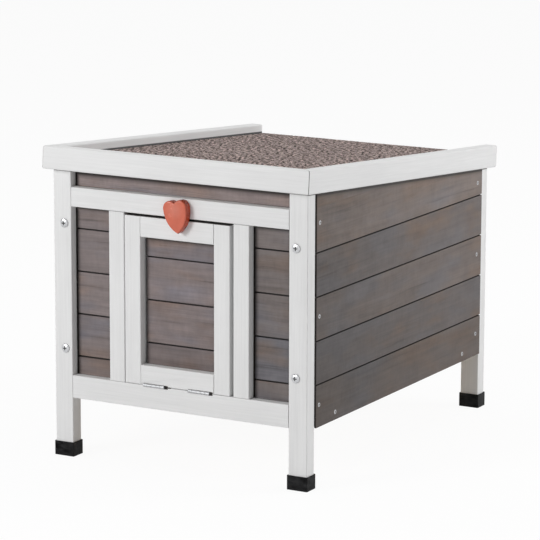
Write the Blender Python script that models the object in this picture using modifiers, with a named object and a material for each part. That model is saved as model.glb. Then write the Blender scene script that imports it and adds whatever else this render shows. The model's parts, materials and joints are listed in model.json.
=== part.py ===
"""Outdoor cat house: a boarded timber cabin on four legs, with a drop-down door and a felted lid.

Run with blender --background --python part.py, or from the text editor. Units are metres, +Z is up and
the door faces -Y. The origin is on the ground, at the middle of the object's outline.
"""

import math

import bmesh
import bpy
from mathutils import Vector

# Clearances
FIT_GAP = 0.0003  # between pieces that touch
LID_GAP = 0.0006  # between the closed lid and the cabin's top edges
BOARD_END_GAP = 0.0026  # open joint at the left end of each infill board

# Cabin
BODY_WIDTH = 0.3978  # over the posts
BODY_DEPTH = 0.5515  # over the posts
EAVES_FRONT = 0.4047  # underside of the lid at the front face
ROOF_FALL = 0.0460  # from the front face to the back face
POST_WIDTH = 0.0282
FRAME_DEPTH = 0.0212  # front to back thickness of posts and rails
TIMBER_ROUNDING = 0.0014

# Foot caps
CAP_HEIGHT = 0.0201
CAP_WALL = 0.0013
CAP_FLOOR = 0.0020

# Front and rear frames
RAIL_BOTTOM = 0.0841
BOTTOM_RAIL_HEIGHT = 0.0324
HEADER_HEIGHT = 0.0232  # from the upper rail to the lid, at the front face
UPPER_RAIL_HEIGHT = 0.0274
REAR_RAIL_HEIGHT = 0.0307  # upper rail, at the rear face
BAY_SHARE = 0.1526  # clear width between a front post and its jamb, over the body's width
JAMB_WIDTH = 0.0244

# Boards
BOARD_THICKNESS = 0.0090
BOARD_RECESS = 0.0120  # behind the frame's outer face
TOP_BOARD_REAR_HEIGHT = 0.0356  # of the tapered top board, at the rear face
SEAM_WIDTH = 0.0020
SEAM_DEPTH = 0.0035
TONGUE_LENGTH = 0.0040
TONGUE_THICKNESS = 0.0028
GROOVE_DEPTH = 0.0047
SIDE_BOARD_BOTTOM = 0.0831
SIDE_BOARD_COUNT = 5  # with the tapered one
SIDE_BOARD_PROUD = 0.0020  # outer face beyond the posts' outer faces

# Inner battens and floor
BATTEN = 0.0200
FLOOR_BATTEN_BOTTOM = 0.0840
FLOOR_THICKNESS = 0.0090

# Door
DOOR_LEFT_GAP = 0.0008
DOOR_RIGHT_GAP = 0.0052
DOOR_TOP_GAP = 0.0029
DOOR_BOTTOM_GAP = 0.0007
STILE_WIDTH = 0.0250
DOOR_TOP_RAIL_HEIGHT = 0.0287
DOOR_BOTTOM_RAIL_HEIGHT = 0.0271
DOOR_LOWEST_BOARD = 0.0308  # clear height below the lowest seam's top

# Hinges
LEAF_THICKNESS = 0.0010
KNUCKLE_RADIUS = 0.00225
PIN_RADIUS = 0.00105
BORE_RADIUS = 0.00115
KNUCKLE_COUNT = 5
HINGE_LENGTH = 0.0336
DOOR_KNUCKLE_FORWARD = 0.0006  # pin centre in front of the frame's face
DOOR_HINGE_REACH = 0.0140
DOOR_HINGE_SLOT = 0.0386  # length of the notches that the knuckles sit in
LID_HINGE_REACH = 0.0095
DOOR_HINGE_LEFT_MARGIN = 0.0041  # from the door's left stile to the first notch
DOOR_HINGE_RIGHT_MARGIN = 0.0013
LID_HINGE_INSET = 0.0789  # from the cabin's side to the hinge's middle

# Heart-shaped turn button
HEART_WIDTH = 0.0363
HEART_HEIGHT = 0.0452
HEART_THICKNESS = 0.0120
HEART_ROUNDING = 0.0026
HEART_LOBE_RADIUS = 0.0102
HEART_PIVOT_BELOW_LOBES = 0.0016  # pivot below the centres of the lobes
HEART_X = 0.0015
HEART_TILT = math.radians(8.3)  # as it was left, tip towards +X

# Screws
SCREW_HEAD_RADIUS = 0.0063
SCREW_HEAD_HEIGHT = 0.0025
SCREW_RADIUS = 0.0020
SCREW_LENGTH = 0.0370
SCREW_TIP = 0.0030
SCREW_SLOT_WIDTH = 0.0014
SCREW_SLOT_DEPTH = 0.0013
PIVOT_SCREW_BITE = 0.0085  # length inside the button
SCREW_CLEARANCE = 0.0003
PIVOT_CLEARANCE = 0.0001
LOWER_SCREW_RISE = 0.0698  # above the bottom rail's foot
UPPER_SCREW_DROP = 0.0744  # below the lid

# Lid
SIDE_OVERHANG = 0.0085
FRONT_OVERHANG = 0.0144
REAR_OVERHANG = 0.0115
RIM_WIDTH = 0.0202
RIM_HEIGHT = 0.0320
RIM_ROUNDING = 0.0025
FELT_LEVEL = 0.0200  # top of the felt above the lid's underside
FELT_THICKNESS = 0.0020
FELT_SIDE_GAP = 0.0015
DECK_THICKNESS = 0.0070
DECK_BITE = 0.0060  # how far the deck's edges enter the rims
REAR_RAIL_WIDTH = 0.0200

# Resolution
ROUND_SIDES = 16
KNUCKLE_SIDES = 20

# Derived values, in the cabin's frame: x from the middle, y from the front face, z from the ground
SLOPE = math.atan2(ROOF_FALL, BODY_DEPTH)
HALF_WIDTH = BODY_WIDTH / 2
POST_INNER_X = HALF_WIDTH - POST_WIDTH
JAMB_OUTER_X = POST_INNER_X - BAY_SHARE * BODY_WIDTH
JAMB_INNER_X = JAMB_OUTER_X - JAMB_WIDTH
BOTTOM_RAIL_TOP = RAIL_BOTTOM + BOTTOM_RAIL_HEIGHT
UPPER_RAIL_TOP = EAVES_FRONT - HEADER_HEIGHT
UPPER_RAIL_BOTTOM = UPPER_RAIL_TOP - UPPER_RAIL_HEIGHT
EAVES_REAR = EAVES_FRONT - ROOF_FALL
REAR_UPPER_RAIL_BOTTOM = EAVES_REAR - REAR_RAIL_HEIGHT
TOP_BOARD_FOOT = EAVES_REAR - TOP_BOARD_REAR_HEIGHT
BOARD_PITCH = (TOP_BOARD_FOOT - SIDE_BOARD_BOTTOM) / (SIDE_BOARD_COUNT - 1)
SIDE_INNER_X = HALF_WIDTH + SIDE_BOARD_PROUD - BOARD_THICKNESS
BATTEN_OUTER_X = SIDE_INNER_X - FIT_GAP
BATTEN_INNER_X = BATTEN_OUTER_X - BATTEN
SIDE_FRONT_Y = FRAME_DEPTH + FIT_GAP
SIDE_REAR_Y = BODY_DEPTH - FRAME_DEPTH - FIT_GAP
FLOOR_BOTTOM = FLOOR_BATTEN_BOTTOM + BATTEN + FIT_GAP
FLOOR_TOP = FLOOR_BOTTOM + FLOOR_THICKNESS
FRAME_SCREW_X = (BATTEN_OUTER_X + BATTEN_INNER_X) / 2
HOLE_RADIUS = SCREW_RADIUS + SCREW_CLEARANCE
SCREW_HEIGHTS = (RAIL_BOTTOM + LOWER_SCREW_RISE, EAVES_FRONT - UPPER_SCREW_DROP)
KNUCKLE_STANDOFF = FIT_GAP + KNUCKLE_RADIUS

# Door hinge line: the leaves are let into the bottom rail and the door, either side of their joint
DOOR_AXIS = Vector((0.0, -DOOR_KNUCKLE_FORWARD, BOTTOM_RAIL_TOP + DOOR_BOTTOM_GAP / 2))
DOOR_BOTTOM = BOTTOM_RAIL_TOP + DOOR_BOTTOM_GAP
LEAF_OFFSET = FIT_GAP / 2  # between the pin's centre plane and a folded leaf
DOOR_TOP = UPPER_RAIL_BOTTOM - DOOR_TOP_GAP
DOOR_LEFT_X = -JAMB_INNER_X + DOOR_LEFT_GAP
DOOR_RIGHT_X = JAMB_INNER_X - DOOR_RIGHT_GAP
DOOR_FIRST_SEAM = DOOR_BOTTOM + DOOR_BOTTOM_RAIL_HEIGHT + DOOR_LOWEST_BOARD
DOOR_HINGE_SLOTS = {
    "left": DOOR_LEFT_X + STILE_WIDTH + DOOR_HINGE_LEFT_MARGIN + DOOR_HINGE_SLOT / 2,
    "right": DOOR_RIGHT_X - STILE_WIDTH - DOOR_HINGE_RIGHT_MARGIN - DOOR_HINGE_SLOT / 2,
}

# Turn button's pivot, at the middle of the upper rail
HEART_BACK_Y = -FIT_GAP
HEART_AXIS = Vector((HEART_X, 0.0, UPPER_RAIL_BOTTOM + UPPER_RAIL_HEIGHT / 2))

# Lid hinge line, behind the rear rail and in the middle of the gap under the lid. The lid's own frame
# has its origin there, +Y down the slope to the rear and +Z square to the deck.
LID_AXIS_ALONG = (BODY_DEPTH + KNUCKLE_STANDOFF + LID_GAP / 2 * math.sin(SLOPE)) / math.cos(SLOPE)
LID_AXIS = Vector(
    (
        0.0,
        BODY_DEPTH + KNUCKLE_STANDOFF,
        EAVES_FRONT - LID_AXIS_ALONG * math.sin(SLOPE) - LID_GAP / 2 * math.cos(SLOPE),
    )
)
LID_BOTTOM = LID_GAP / 2
LID_FRONT = -FRONT_OVERHANG / math.cos(SLOPE) - LID_AXIS_ALONG
LID_REAR = (BODY_DEPTH + REAR_OVERHANG) / math.cos(SLOPE) - LID_AXIS_ALONG
RIM_OUTER_X = HALF_WIDTH + SIDE_OVERHANG
RIM_INNER_X = RIM_OUTER_X - RIM_WIDTH
FELT_TOP = LID_BOTTOM + FELT_LEVEL
DECK_TOP = FELT_TOP - FELT_THICKNESS - FIT_GAP
DECK_BOTTOM = DECK_TOP - DECK_THICKNESS

# The middle of the whole outline, front to back: from the front rim's foot to the rear rims' top
OUTLINE_FRONT_Y = -FRONT_OVERHANG + RIM_ROUNDING * (math.cos(SLOPE) + math.sin(SLOPE) - 1)
OUTLINE_REAR_Y = BODY_DEPTH + REAR_OVERHANG + RIM_HEIGHT * math.sin(SLOPE)
OUTLINE_CENTRE_Y = (OUTLINE_FRONT_Y + OUTLINE_REAR_Y) / 2

TRIM_REACH = 0.1  # how far the trimming cutters reach past the cabin
ABOVE_ALL = EAVES_FRONT + TRIM_REACH / 2


def make_collection(name):
    collection = bpy.data.collections.new(name)
    bpy.context.scene.collection.children.link(collection)
    return collection


def make_material(name, colour, roughness, metallic=0.0):
    material = bpy.data.materials.new(name)
    material.use_nodes = True
    shader = material.node_tree.nodes["Principled BSDF"]
    shader.inputs["Base Color"].default_value = (*colour, 1.0)
    shader.inputs["Roughness"].default_value = roughness
    shader.inputs["Metallic"].default_value = metallic
    material.diffuse_color = (*colour, 1.0)
    return material


def make_empty(name, location, parent=None, tilt=(0.0, 0.0, 0.0)):
    empty = bpy.data.objects.new(name, None)
    empty.location = location
    empty.rotation_euler = tilt
    empty.parent = parent
    PARTS.objects.link(empty)
    return empty


# Start from an empty scene

for old in list(bpy.data.objects):
    bpy.data.objects.remove(old, do_unlink=True)

PARTS = make_collection("outdoor_cat_house")
CUTTERS = make_collection("cutters")

WHITE_PAINT = make_material("white_paint", (0.76, 0.76, 0.75), 0.55)
GREY_STAIN = make_material("grey_brown_stain", (0.19, 0.165, 0.155), 0.7)
BARE_PINE = make_material("bare_pine", (0.62, 0.47, 0.30), 0.75)
PLYWOOD = make_material("plywood", (0.58, 0.44, 0.29), 0.75)
ROOF_FELT = make_material("roof_felt", (0.25, 0.20, 0.19), 0.95)
BLACK_PLASTIC = make_material("black_plastic", (0.015, 0.015, 0.016), 0.45)
ZINC_STEEL = make_material("zinc_steel", (0.72, 0.72, 0.73), 0.3, 1.0)
CORAL_PAINT = make_material("coral_paint", (0.58, 0.16, 0.10), 0.5)

# Each group's origin in the cabin's frame; the moving groups turn about theirs
CABIN = make_empty("cabin", (0.0, -OUTLINE_CENTRE_Y, 0.0))
DOOR = make_empty("door_axis", DOOR_AXIS, CABIN)
BUTTON = make_empty("heart_axis", HEART_AXIS, CABIN, (0.0, -HEART_TILT, 0.0))
LID = make_empty("lid_axis", LID_AXIS, CABIN, (-SLOPE, 0.0, 0.0))
ORIGINS = {CABIN: Vector(), DOOR: DOOR_AXIS, BUTTON: Vector(), LID: Vector()}


def add_object(name, mesh, material, group, location, tilt=(0.0, 0.0, 0.0)):
    """A part at a place given in the cabin's frame, or in the lid's or the button's own."""
    piece = bpy.data.objects.new(name, mesh)
    piece.parent = group
    piece.location = Vector(location) - ORIGINS[group]
    piece.rotation_euler = tilt
    if material is None:
        CUTTERS.objects.link(piece)
        piece.hide_render = True
        piece.display_type = "WIRE"
    else:
        PARTS.objects.link(piece)
        mesh.materials.append(material)
    return piece


def mesh_from(bm, name):
    """A mesh with its faces pointing out, smooth but for its sharp edges."""
    bmesh.ops.recalc_face_normals(bm, faces=bm.faces)
    mesh = bpy.data.meshes.new(name)
    bm.to_mesh(mesh)
    bm.free()
    mesh.shade_smooth()
    mesh.set_sharp_from_angle(angle=math.radians(35))
    return mesh


def round_long_edges(bm, axis, radius, segments):
    """Rounds the edges that run along one axis."""
    edges = []
    for edge in bm.edges:
        run = edge.verts[1].co - edge.verts[0].co
        if abs(run[axis]) > 0.9 * run.length:
            edges.append(edge)
    bmesh.ops.bevel(
        bm, geom=edges, offset=radius, segments=segments, profile=0.5, affect="EDGES", clamp_overlap=True
    )


def box(name, low, high, material, group, run=None, rounding=TIMBER_ROUNDING, segments=2):
    """A block between two corners. With run, the edges along that axis are rounded as milled timber."""
    low, high = Vector(low), Vector(high)
    bm = bmesh.new()
    bmesh.ops.create_cube(bm, size=1.0)
    bmesh.ops.scale(bm, vec=high - low, verts=bm.verts)
    if run is not None:
        round_long_edges(bm, run, rounding, segments)
    return add_object(name, mesh_from(bm, name), material, group, (low + high) / 2)


def prism(name, outline, thickness, material, group, location, tilt, run=None, rounding=0.0, segments=3):
    """A flat outline drawn as a curve, made thick, and turned into place."""
    curve = bpy.data.curves.new(name + "_outline", "CURVE")
    curve.dimensions = "2D"
    curve.fill_mode = "BOTH"
    curve.extrude = thickness / 2
    spline = curve.splines.new("POLY")
    spline.points.add(len(outline) - 1)
    for point, (u, v) in zip(spline.points, outline):
        point.co = (u, v, 0.0, 1.0)
    spline.use_cyclic_u = True
    drawn = bpy.data.objects.new(name + "_outline", curve)
    bpy.context.scene.collection.objects.link(drawn)
    bpy.context.view_layer.update()
    flat = bpy.data.meshes.new_from_object(drawn.evaluated_get(bpy.context.evaluated_depsgraph_get()))
    bpy.data.objects.remove(drawn, do_unlink=True)
    bm = bmesh.new()
    bm.from_mesh(flat)
    bmesh.ops.remove_doubles(bm, verts=bm.verts, dist=1e-6)
    bmesh.ops.dissolve_limit(bm, angle_limit=math.radians(0.5), verts=bm.verts, edges=bm.edges)
    if run is not None:
        round_long_edges(bm, run, rounding, segments)
    return add_object(name, mesh_from(bm, name), material, group, location, tilt)


def cylinder(name, radius, length, material, group, location, tilt, sides=ROUND_SIDES):
    bm = bmesh.new()
    bmesh.ops.create_cone(
        bm, cap_ends=True, segments=sides, radius1=radius, radius2=radius, depth=length
    )
    return add_object(name, mesh_from(bm, name), material, group, location, tilt)


def boolean(piece, other, operation):
    modifier = piece.modifiers.new(operation.lower(), "BOOLEAN")
    modifier.operation = operation
    modifier.solver = "EXACT"
    modifier.object = other


def turned(name, profile, material, group, location, tilt, sides=ROUND_SIDES):
    """A profile of (radius, height) points turned about its own Z axis."""
    mesh = bpy.data.meshes.new(name)
    points = [(radius, 0.0, height) for radius, height in profile]
    mesh.from_pydata(points, [(i, i + 1) for i in range(len(points) - 1)], [])
    piece = add_object(name, mesh, material, group, location, tilt)
    screw = piece.modifiers.new("turn", "SCREW")
    screw.steps = sides
    screw.render_steps = sides
    screw.use_merge_vertices = True
    screw.merge_threshold = 0.00001
    return piece


# Turns an outline's axes: u to +X and v to +Z, thickness along Y
UPRIGHT_ALONG_Y = (math.radians(90), 0.0, 0.0)
# u to +Y and v to +Z, thickness along X
UPRIGHT_ALONG_X = (math.radians(90), 0.0, math.radians(90))
FLAT = (0.0, 0.0, 0.0)
# A turned piece's top towards the front, and towards the rear
TOP_TO_FRONT = (math.radians(90), 0.0, 0.0)
TOP_TO_REAR = (math.radians(-90), 0.0, 0.0)


def lid_cutter(name, level):
    """Everything above a plane that slopes with the lid, at this height over the lid's underside."""
    width, depth = BODY_WIDTH + 2 * TRIM_REACH, BODY_DEPTH + 2 * TRIM_REACH
    size = Vector((width, depth, 2 * TRIM_REACH + 2 * ROOF_FALL))
    bm = bmesh.new()
    bmesh.ops.create_cube(bm, size=1.0)
    bmesh.ops.scale(bm, vec=size, verts=bm.verts)
    bmesh.ops.translate(bm, vec=(0.0, BODY_DEPTH / 2, size.z / 2), verts=bm.verts)
    height = EAVES_FRONT + level / math.cos(SLOPE)
    return add_object(name, mesh_from(bm, name), None, CABIN, (0.0, 0.0, height), (-SLOPE, 0.0, 0.0))


# Planes that trim the cabin's top edges, and the pilot holes through posts and uprights

UNDER_RIMS = lid_cutter("trim_under_rims", -LID_GAP)
UNDER_DECK = lid_cutter("trim_under_deck", DECK_BOTTOM - LID_BOTTOM - LID_GAP)
SIDES = (("left", -1), ("right", 1))


def mirrored(side, x0, x1):
    """The two x values on this side, low first."""
    return sorted((side * x0, side * x1))


def screw_profile(length):
    """A pan head on top of a shank that tapers at its tip, from the top down its outer side."""
    head, rise = SCREW_HEAD_RADIUS, SCREW_HEAD_HEIGHT
    return [
        (0.0, rise),
        (0.55 * head, 0.94 * rise),
        (0.86 * head, 0.66 * rise),
        (head, 0.2 * rise),
        (head, 0.0),
        (SCREW_RADIUS, 0.0),
        (SCREW_RADIUS, SCREW_TIP - length),
        (0.0, -length),
    ]


def cross_slot(piece, name, group, location, tilt):
    """A cross cut into a screw's head."""
    arm = SCREW_HEAD_RADIUS * 0.95
    for i, (wide, deep) in enumerate(((arm, SCREW_SLOT_WIDTH), (SCREW_SLOT_WIDTH, arm))):
        bm = bmesh.new()
        bmesh.ops.create_cube(bm, size=1.0)
        bmesh.ops.scale(bm, vec=(wide, deep, 2 * SCREW_SLOT_DEPTH), verts=bm.verts)
        bmesh.ops.translate(bm, vec=(0.0, 0.0, SCREW_HEAD_HEIGHT), verts=bm.verts)
        slot_name = f"{name}_slot_{i}"
        slot = add_object(slot_name, mesh_from(bm, slot_name), None, group, location, tilt)
        boolean(piece, slot, "DIFFERENCE")


def make_posts_and_caps():
    """Four legs that are also the frames' corner posts, each in a plastic cap."""
    foot = CAP_FLOOR + FIT_GAP
    for end, y0 in (("front", 0.0), ("rear", BODY_DEPTH - FRAME_DEPTH)):
        for side_name, side in SIDES:
            x0, x1 = mirrored(side, POST_INNER_X, HALF_WIDTH)
            y1 = y0 + FRAME_DEPTH
            name = f"{end}_post_{side_name}"
            post = box(name, (x0, y0, foot), (x1, y1, ABOVE_ALL), WHITE_PAINT, CABIN, run=2)
            boolean(post, UNDER_RIMS, "DIFFERENCE")
            if end == "front":
                for hole in FRAME_SCREW_HOLES[side_name]:
                    boolean(post, hole, "DIFFERENCE")
            make_cap(f"{end}_foot_cap_{side_name}", x0, x1, y0, y1)


def make_cap(name, x0, x1, y0, y1):
    outer = FIT_GAP + CAP_WALL
    cap = box(
        name, (x0 - outer, y0 - outer, 0.0), (x1 + outer, y1 + outer, CAP_HEIGHT),
        BLACK_PLASTIC, CABIN, run=2, rounding=CAP_WALL,
    )
    socket = box(
        name + "_socket", (x0 - FIT_GAP, y0 - FIT_GAP, CAP_FLOOR),
        (x1 + FIT_GAP, y1 + FIT_GAP, 2 * CAP_HEIGHT), None, CABIN,
    )
    boolean(cap, socket, "DIFFERENCE")


def seam_heights(first_top, low, high):
    """The top of each board seam between two heights, one pitch apart."""
    tops = []
    top = first_top
    while top < high:
        if top - SEAM_WIDTH > low:
            tops.append(top)
        top += BOARD_PITCH
    return tops


def infill_boards(name, x0, x1, z0, z1, first_seam, material, group, face_y, outwards):
    """Short boards set into a frame, as one sheet with an open seam between neighbours.

    The outer face is at face_y and looks along outwards, which is -1 for the front and 1 for the rear.
    """
    outline = [(face_y - outwards * BOARD_THICKNESS, z0), (face_y, z0)]
    seam_floor = face_y - outwards * SEAM_DEPTH
    for top in seam_heights(first_seam, z0, z1):
        foot = top - SEAM_WIDTH
        outline += [(face_y, foot), (seam_floor, foot), (seam_floor, top), (face_y, top)]
    outline += [(face_y, z1), (face_y - outwards * BOARD_THICKNESS, z1)]
    centre = ((x0 + x1) / 2, 0.0, 0.0)
    if group == DOOR:
        outline = [(y - DOOR_AXIS.y, z - DOOR_AXIS.z) for y, z in outline]
        centre = ((x0 + x1) / 2, DOOR_AXIS.y, DOOR_AXIS.z)
    return prism(name, outline, x1 - x0, material, group, centre, UPRIGHT_ALONG_X)


def door_hinge_x(side_name):
    """The middle of a door hinge, which sits against the left end of its notch."""
    return DOOR_HINGE_SLOTS[side_name] - DOOR_HINGE_SLOT / 2 + FIT_GAP + HINGE_LENGTH / 2


def let_in_hinges(rail, group):
    """Cuts a rail for both door hinges: a notch for the knuckles and a shallow bed for the leaf."""
    notch = KNUCKLE_RADIUS + FIT_GAP
    bed = LEAF_OFFSET + LEAF_THICKNESS + FIT_GAP
    y, z = DOOR_AXIS.y, DOOR_AXIS.z
    for side_name, x in DOOR_HINGE_SLOTS.items():
        name = f"{rail.name}_{side_name}"
        half = DOOR_HINGE_SLOT / 2
        cutter = box(
            name + "_notch", (x - half, y - 3 * notch, z - notch), (x + half, y + notch, z + notch),
            None, group,
        )
        boolean(rail, cutter, "DIFFERENCE")
        x, half = door_hinge_x(side_name), HINGE_LENGTH / 2 + FIT_GAP
        cutter = box(
            name + "_bed", (x - half, y, z - bed), (x + half, y + DOOR_HINGE_REACH + FIT_GAP, z + bed),
            None, group,
        )
        boolean(rail, cutter, "DIFFERENCE")


def make_front_frame():
    """Rails and jambs between the front posts, with boarded bays and a header board."""
    inner = POST_INNER_X - FIT_GAP
    rail = box(
        "front_bottom_rail", (-inner, 0.0, RAIL_BOTTOM), (inner, FRAME_DEPTH, BOTTOM_RAIL_TOP),
        WHITE_PAINT, CABIN, run=0,
    )
    let_in_hinges(rail, CABIN)
    rail = box(
        "front_upper_rail", (-inner, 0.0, UPPER_RAIL_BOTTOM), (inner, FRAME_DEPTH, UPPER_RAIL_TOP),
        WHITE_PAINT, CABIN, run=0,
    )
    pivot_hole = cylinder(
        "pivot_hole", SCREW_RADIUS + PIVOT_CLEARANCE, 3 * FRAME_DEPTH, None, CABIN, HEART_AXIS,
        TOP_TO_FRONT,
    )
    boolean(rail, pivot_hole, "DIFFERENCE")
    z0, z1 = BOTTOM_RAIL_TOP + FIT_GAP, UPPER_RAIL_BOTTOM - FIT_GAP
    for side_name, side in SIDES:
        x0, x1 = mirrored(side, JAMB_INNER_X, JAMB_OUTER_X)
        box(f"front_jamb_{side_name}", (x0, 0.0, z0), (x1, FRAME_DEPTH, z1), WHITE_PAINT, CABIN, run=2)
        bay0, bay1 = mirrored(side, JAMB_OUTER_X, POST_INNER_X)
        infill_boards(
            f"front_bay_boards_{side_name}", bay0 + BOARD_END_GAP, bay1 - FIT_GAP, z0, z1,
            SIDE_BOARD_BOTTOM + BOARD_PITCH, GREY_STAIN, CABIN, BOARD_RECESS, -1,
        )
    header = box(
        "front_header_board",
        (-POST_INNER_X + BOARD_END_GAP, BOARD_RECESS, UPPER_RAIL_TOP + FIT_GAP),
        (POST_INNER_X - FIT_GAP, BOARD_RECESS + BOARD_THICKNESS, ABOVE_ALL),
        GREY_STAIN, CABIN,
    )
    boolean(header, UNDER_DECK, "DIFFERENCE")


def make_rear_frame():
    """Rails between the rear posts, with boards between the rails."""
    inner = POST_INNER_X - FIT_GAP
    y0, y1 = BODY_DEPTH - FRAME_DEPTH, BODY_DEPTH
    box(
        "rear_bottom_rail", (-inner, y0, RAIL_BOTTOM), (inner, y1, BOTTOM_RAIL_TOP),
        WHITE_PAINT, CABIN, run=0,
    )
    rail = box(
        "rear_upper_rail", (-inner, y0, REAR_UPPER_RAIL_BOTTOM), (inner, y1, ABOVE_ALL),
        WHITE_PAINT, CABIN, run=0,
    )
    boolean(rail, UNDER_RIMS, "DIFFERENCE")
    infill_boards(
        "rear_boards", -inner, inner - BOARD_END_GAP, BOTTOM_RAIL_TOP + FIT_GAP,
        REAR_UPPER_RAIL_BOTTOM - FIT_GAP, SIDE_BOARD_BOTTOM + BOARD_PITCH, GREY_STAIN, CABIN,
        BODY_DEPTH - BOARD_RECESS, 1,
    )


def side_board_outline(height, tongued, side):
    """A tongue-and-groove board's section, with u outwards from its inner face and v up from its foot.

    The front shoulder stops short of the back one, which leaves the open seam outside.
    """
    middle = BOARD_THICKNESS / 2
    tongue = TONGUE_THICKNESS / 2
    groove = tongue + FIT_GAP
    outline = [
        (0.0, 0.0),
        (middle - groove, 0.0),
        (middle - groove, GROOVE_DEPTH),
        (middle + groove, GROOVE_DEPTH),
        (middle + groove, 0.0),
        (BOARD_THICKNESS, 0.0),
    ]
    if tongued:
        outline += [
            (BOARD_THICKNESS, height - SEAM_WIDTH),
            (middle + tongue, height - SEAM_WIDTH),
            (middle + tongue, height + TONGUE_LENGTH),
            (middle - tongue, height + TONGUE_LENGTH),
            (middle - tongue, height - FIT_GAP),
            (0.0, height - FIT_GAP),
        ]
    else:
        outline += [(BOARD_THICKNESS, height), (0.0, height)]
    return [(side * u, v) for u, v in outline]


def make_side(side_name, side):
    """Five boards between the posts, two uprights behind their ends, and the batten under the floor."""
    length = SIDE_REAR_Y - SIDE_FRONT_Y
    middle_y = (SIDE_FRONT_Y + SIDE_REAR_Y) / 2
    for i in range(SIDE_BOARD_COUNT):
        foot = SIDE_BOARD_BOTTOM + i * BOARD_PITCH
        top_board = i == SIDE_BOARD_COUNT - 1
        height = ABOVE_ALL - foot if top_board else BOARD_PITCH
        board = prism(
            f"{side_name}_side_board_{i + 1}", side_board_outline(height, not top_board, side), length,
            GREY_STAIN, CABIN, (side * SIDE_INNER_X, middle_y, foot), UPRIGHT_ALONG_Y,
        )
        if top_board:
            boolean(board, UNDER_RIMS, "DIFFERENCE")
    x0, x1 = mirrored(side, BATTEN_INNER_X, BATTEN_OUTER_X)
    for end, y0 in (("front", SIDE_FRONT_Y), ("rear", SIDE_REAR_Y - BATTEN)):
        upright = box(
            f"{side_name}_upright_{end}", (x0, y0, SIDE_BOARD_BOTTOM), (x1, y0 + BATTEN, ABOVE_ALL),
            BARE_PINE, CABIN,
        )
        boolean(upright, UNDER_RIMS, "DIFFERENCE")
        if end == "front":
            for hole in FRAME_SCREW_HOLES[side_name]:
                boolean(upright, hole, "DIFFERENCE")
    box(
        f"{side_name}_floor_batten",
        (x0, SIDE_FRONT_Y + BATTEN + FIT_GAP, FLOOR_BATTEN_BOTTOM),
        (x1, SIDE_REAR_Y - BATTEN - FIT_GAP, FLOOR_BATTEN_BOTTOM + BATTEN),
        BARE_PINE, CABIN,
    )


def make_floor():
    """A sheet on the side battens, notched round the four uprights."""
    x, notch_x = SIDE_INNER_X - FIT_GAP, BATTEN_INNER_X - FIT_GAP
    half = (SIDE_REAR_Y - SIDE_FRONT_Y) / 2
    notch = half - BATTEN - FIT_GAP
    corner = [(x, notch), (notch_x, notch), (notch_x, half)]
    outline = corner
    outline += [(-u, v) for u, v in reversed(corner)]
    outline += [(-u, -v) for u, v in corner]
    outline += [(u, -v) for u, v in reversed(corner)]
    outline = outline[:12]
    middle_y = (SIDE_FRONT_Y + SIDE_REAR_Y) / 2
    prism(
        "floor_panel", outline, FLOOR_THICKNESS, PLYWOOD, CABIN,
        (0.0, middle_y, (FLOOR_BOTTOM + FLOOR_TOP) / 2), FLAT,
    )


def make_frame_screw_holes():
    """Cutters through the front posts into the uprights behind them."""
    holes = {}
    depth = SCREW_LENGTH + SCREW_TIP
    for side_name, side in SIDES:
        holes[side_name] = []
        for i, z in enumerate(SCREW_HEIGHTS):
            where = (side * FRAME_SCREW_X, depth / 2 - SCREW_TIP, z)
            holes[side_name].append(
                cylinder(
                    f"screw_hole_{side_name}_{i}", HOLE_RADIUS, depth, None, CABIN, where, TOP_TO_FRONT
                )
            )
    return holes


def make_frame_screws():
    """Screws that hold the front frame to the side panels."""
    for side_name, side in SIDES:
        for level, z in zip(("lower", "upper"), SCREW_HEIGHTS):
            name = f"frame_screw_{level}_{side_name}"
            where = (side * FRAME_SCREW_X, -FIT_GAP, z)
            screw = turned(
                name, screw_profile(SCREW_LENGTH), ZINC_STEEL, CABIN, where, TOP_TO_FRONT
            )
            cross_slot(screw, name, CABIN, where, TOP_TO_FRONT)


def make_door():
    """Two stiles with two rails between them, and boards set into the frame."""
    y1 = FRAME_DEPTH
    left = DOOR_LEFT_X + STILE_WIDTH
    right = DOOR_RIGHT_X - STILE_WIDTH
    box(
        "door_stile_left", (DOOR_LEFT_X, 0.0, DOOR_BOTTOM), (left, y1, DOOR_TOP),
        WHITE_PAINT, DOOR, run=2,
    )
    box(
        "door_stile_right", (right, 0.0, DOOR_BOTTOM), (DOOR_RIGHT_X, y1, DOOR_TOP),
        WHITE_PAINT, DOOR, run=2,
    )
    x0, x1 = left + FIT_GAP, right - FIT_GAP
    low, high = DOOR_BOTTOM + DOOR_BOTTOM_RAIL_HEIGHT, DOOR_TOP - DOOR_TOP_RAIL_HEIGHT
    rail = box("door_bottom_rail", (x0, 0.0, DOOR_BOTTOM), (x1, y1, low), WHITE_PAINT, DOOR, run=0)
    let_in_hinges(rail, DOOR)
    box("door_top_rail", (x0, 0.0, high), (x1, y1, DOOR_TOP), WHITE_PAINT, DOOR, run=0)
    infill_boards(
        "door_boards", left + BOARD_END_GAP, x1, low + FIT_GAP, high - FIT_GAP,
        DOOR_FIRST_SEAM, GREY_STAIN, DOOR, BOARD_RECESS, -1,
    )


def knuckle_span(i):
    """The start and end of a knuckle along the hinge."""
    step = HINGE_LENGTH / KNUCKLE_COUNT
    start = -HINGE_LENGTH / 2 + i * step
    return start + FIT_GAP / 2, start + step - FIT_GAP / 2


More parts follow.
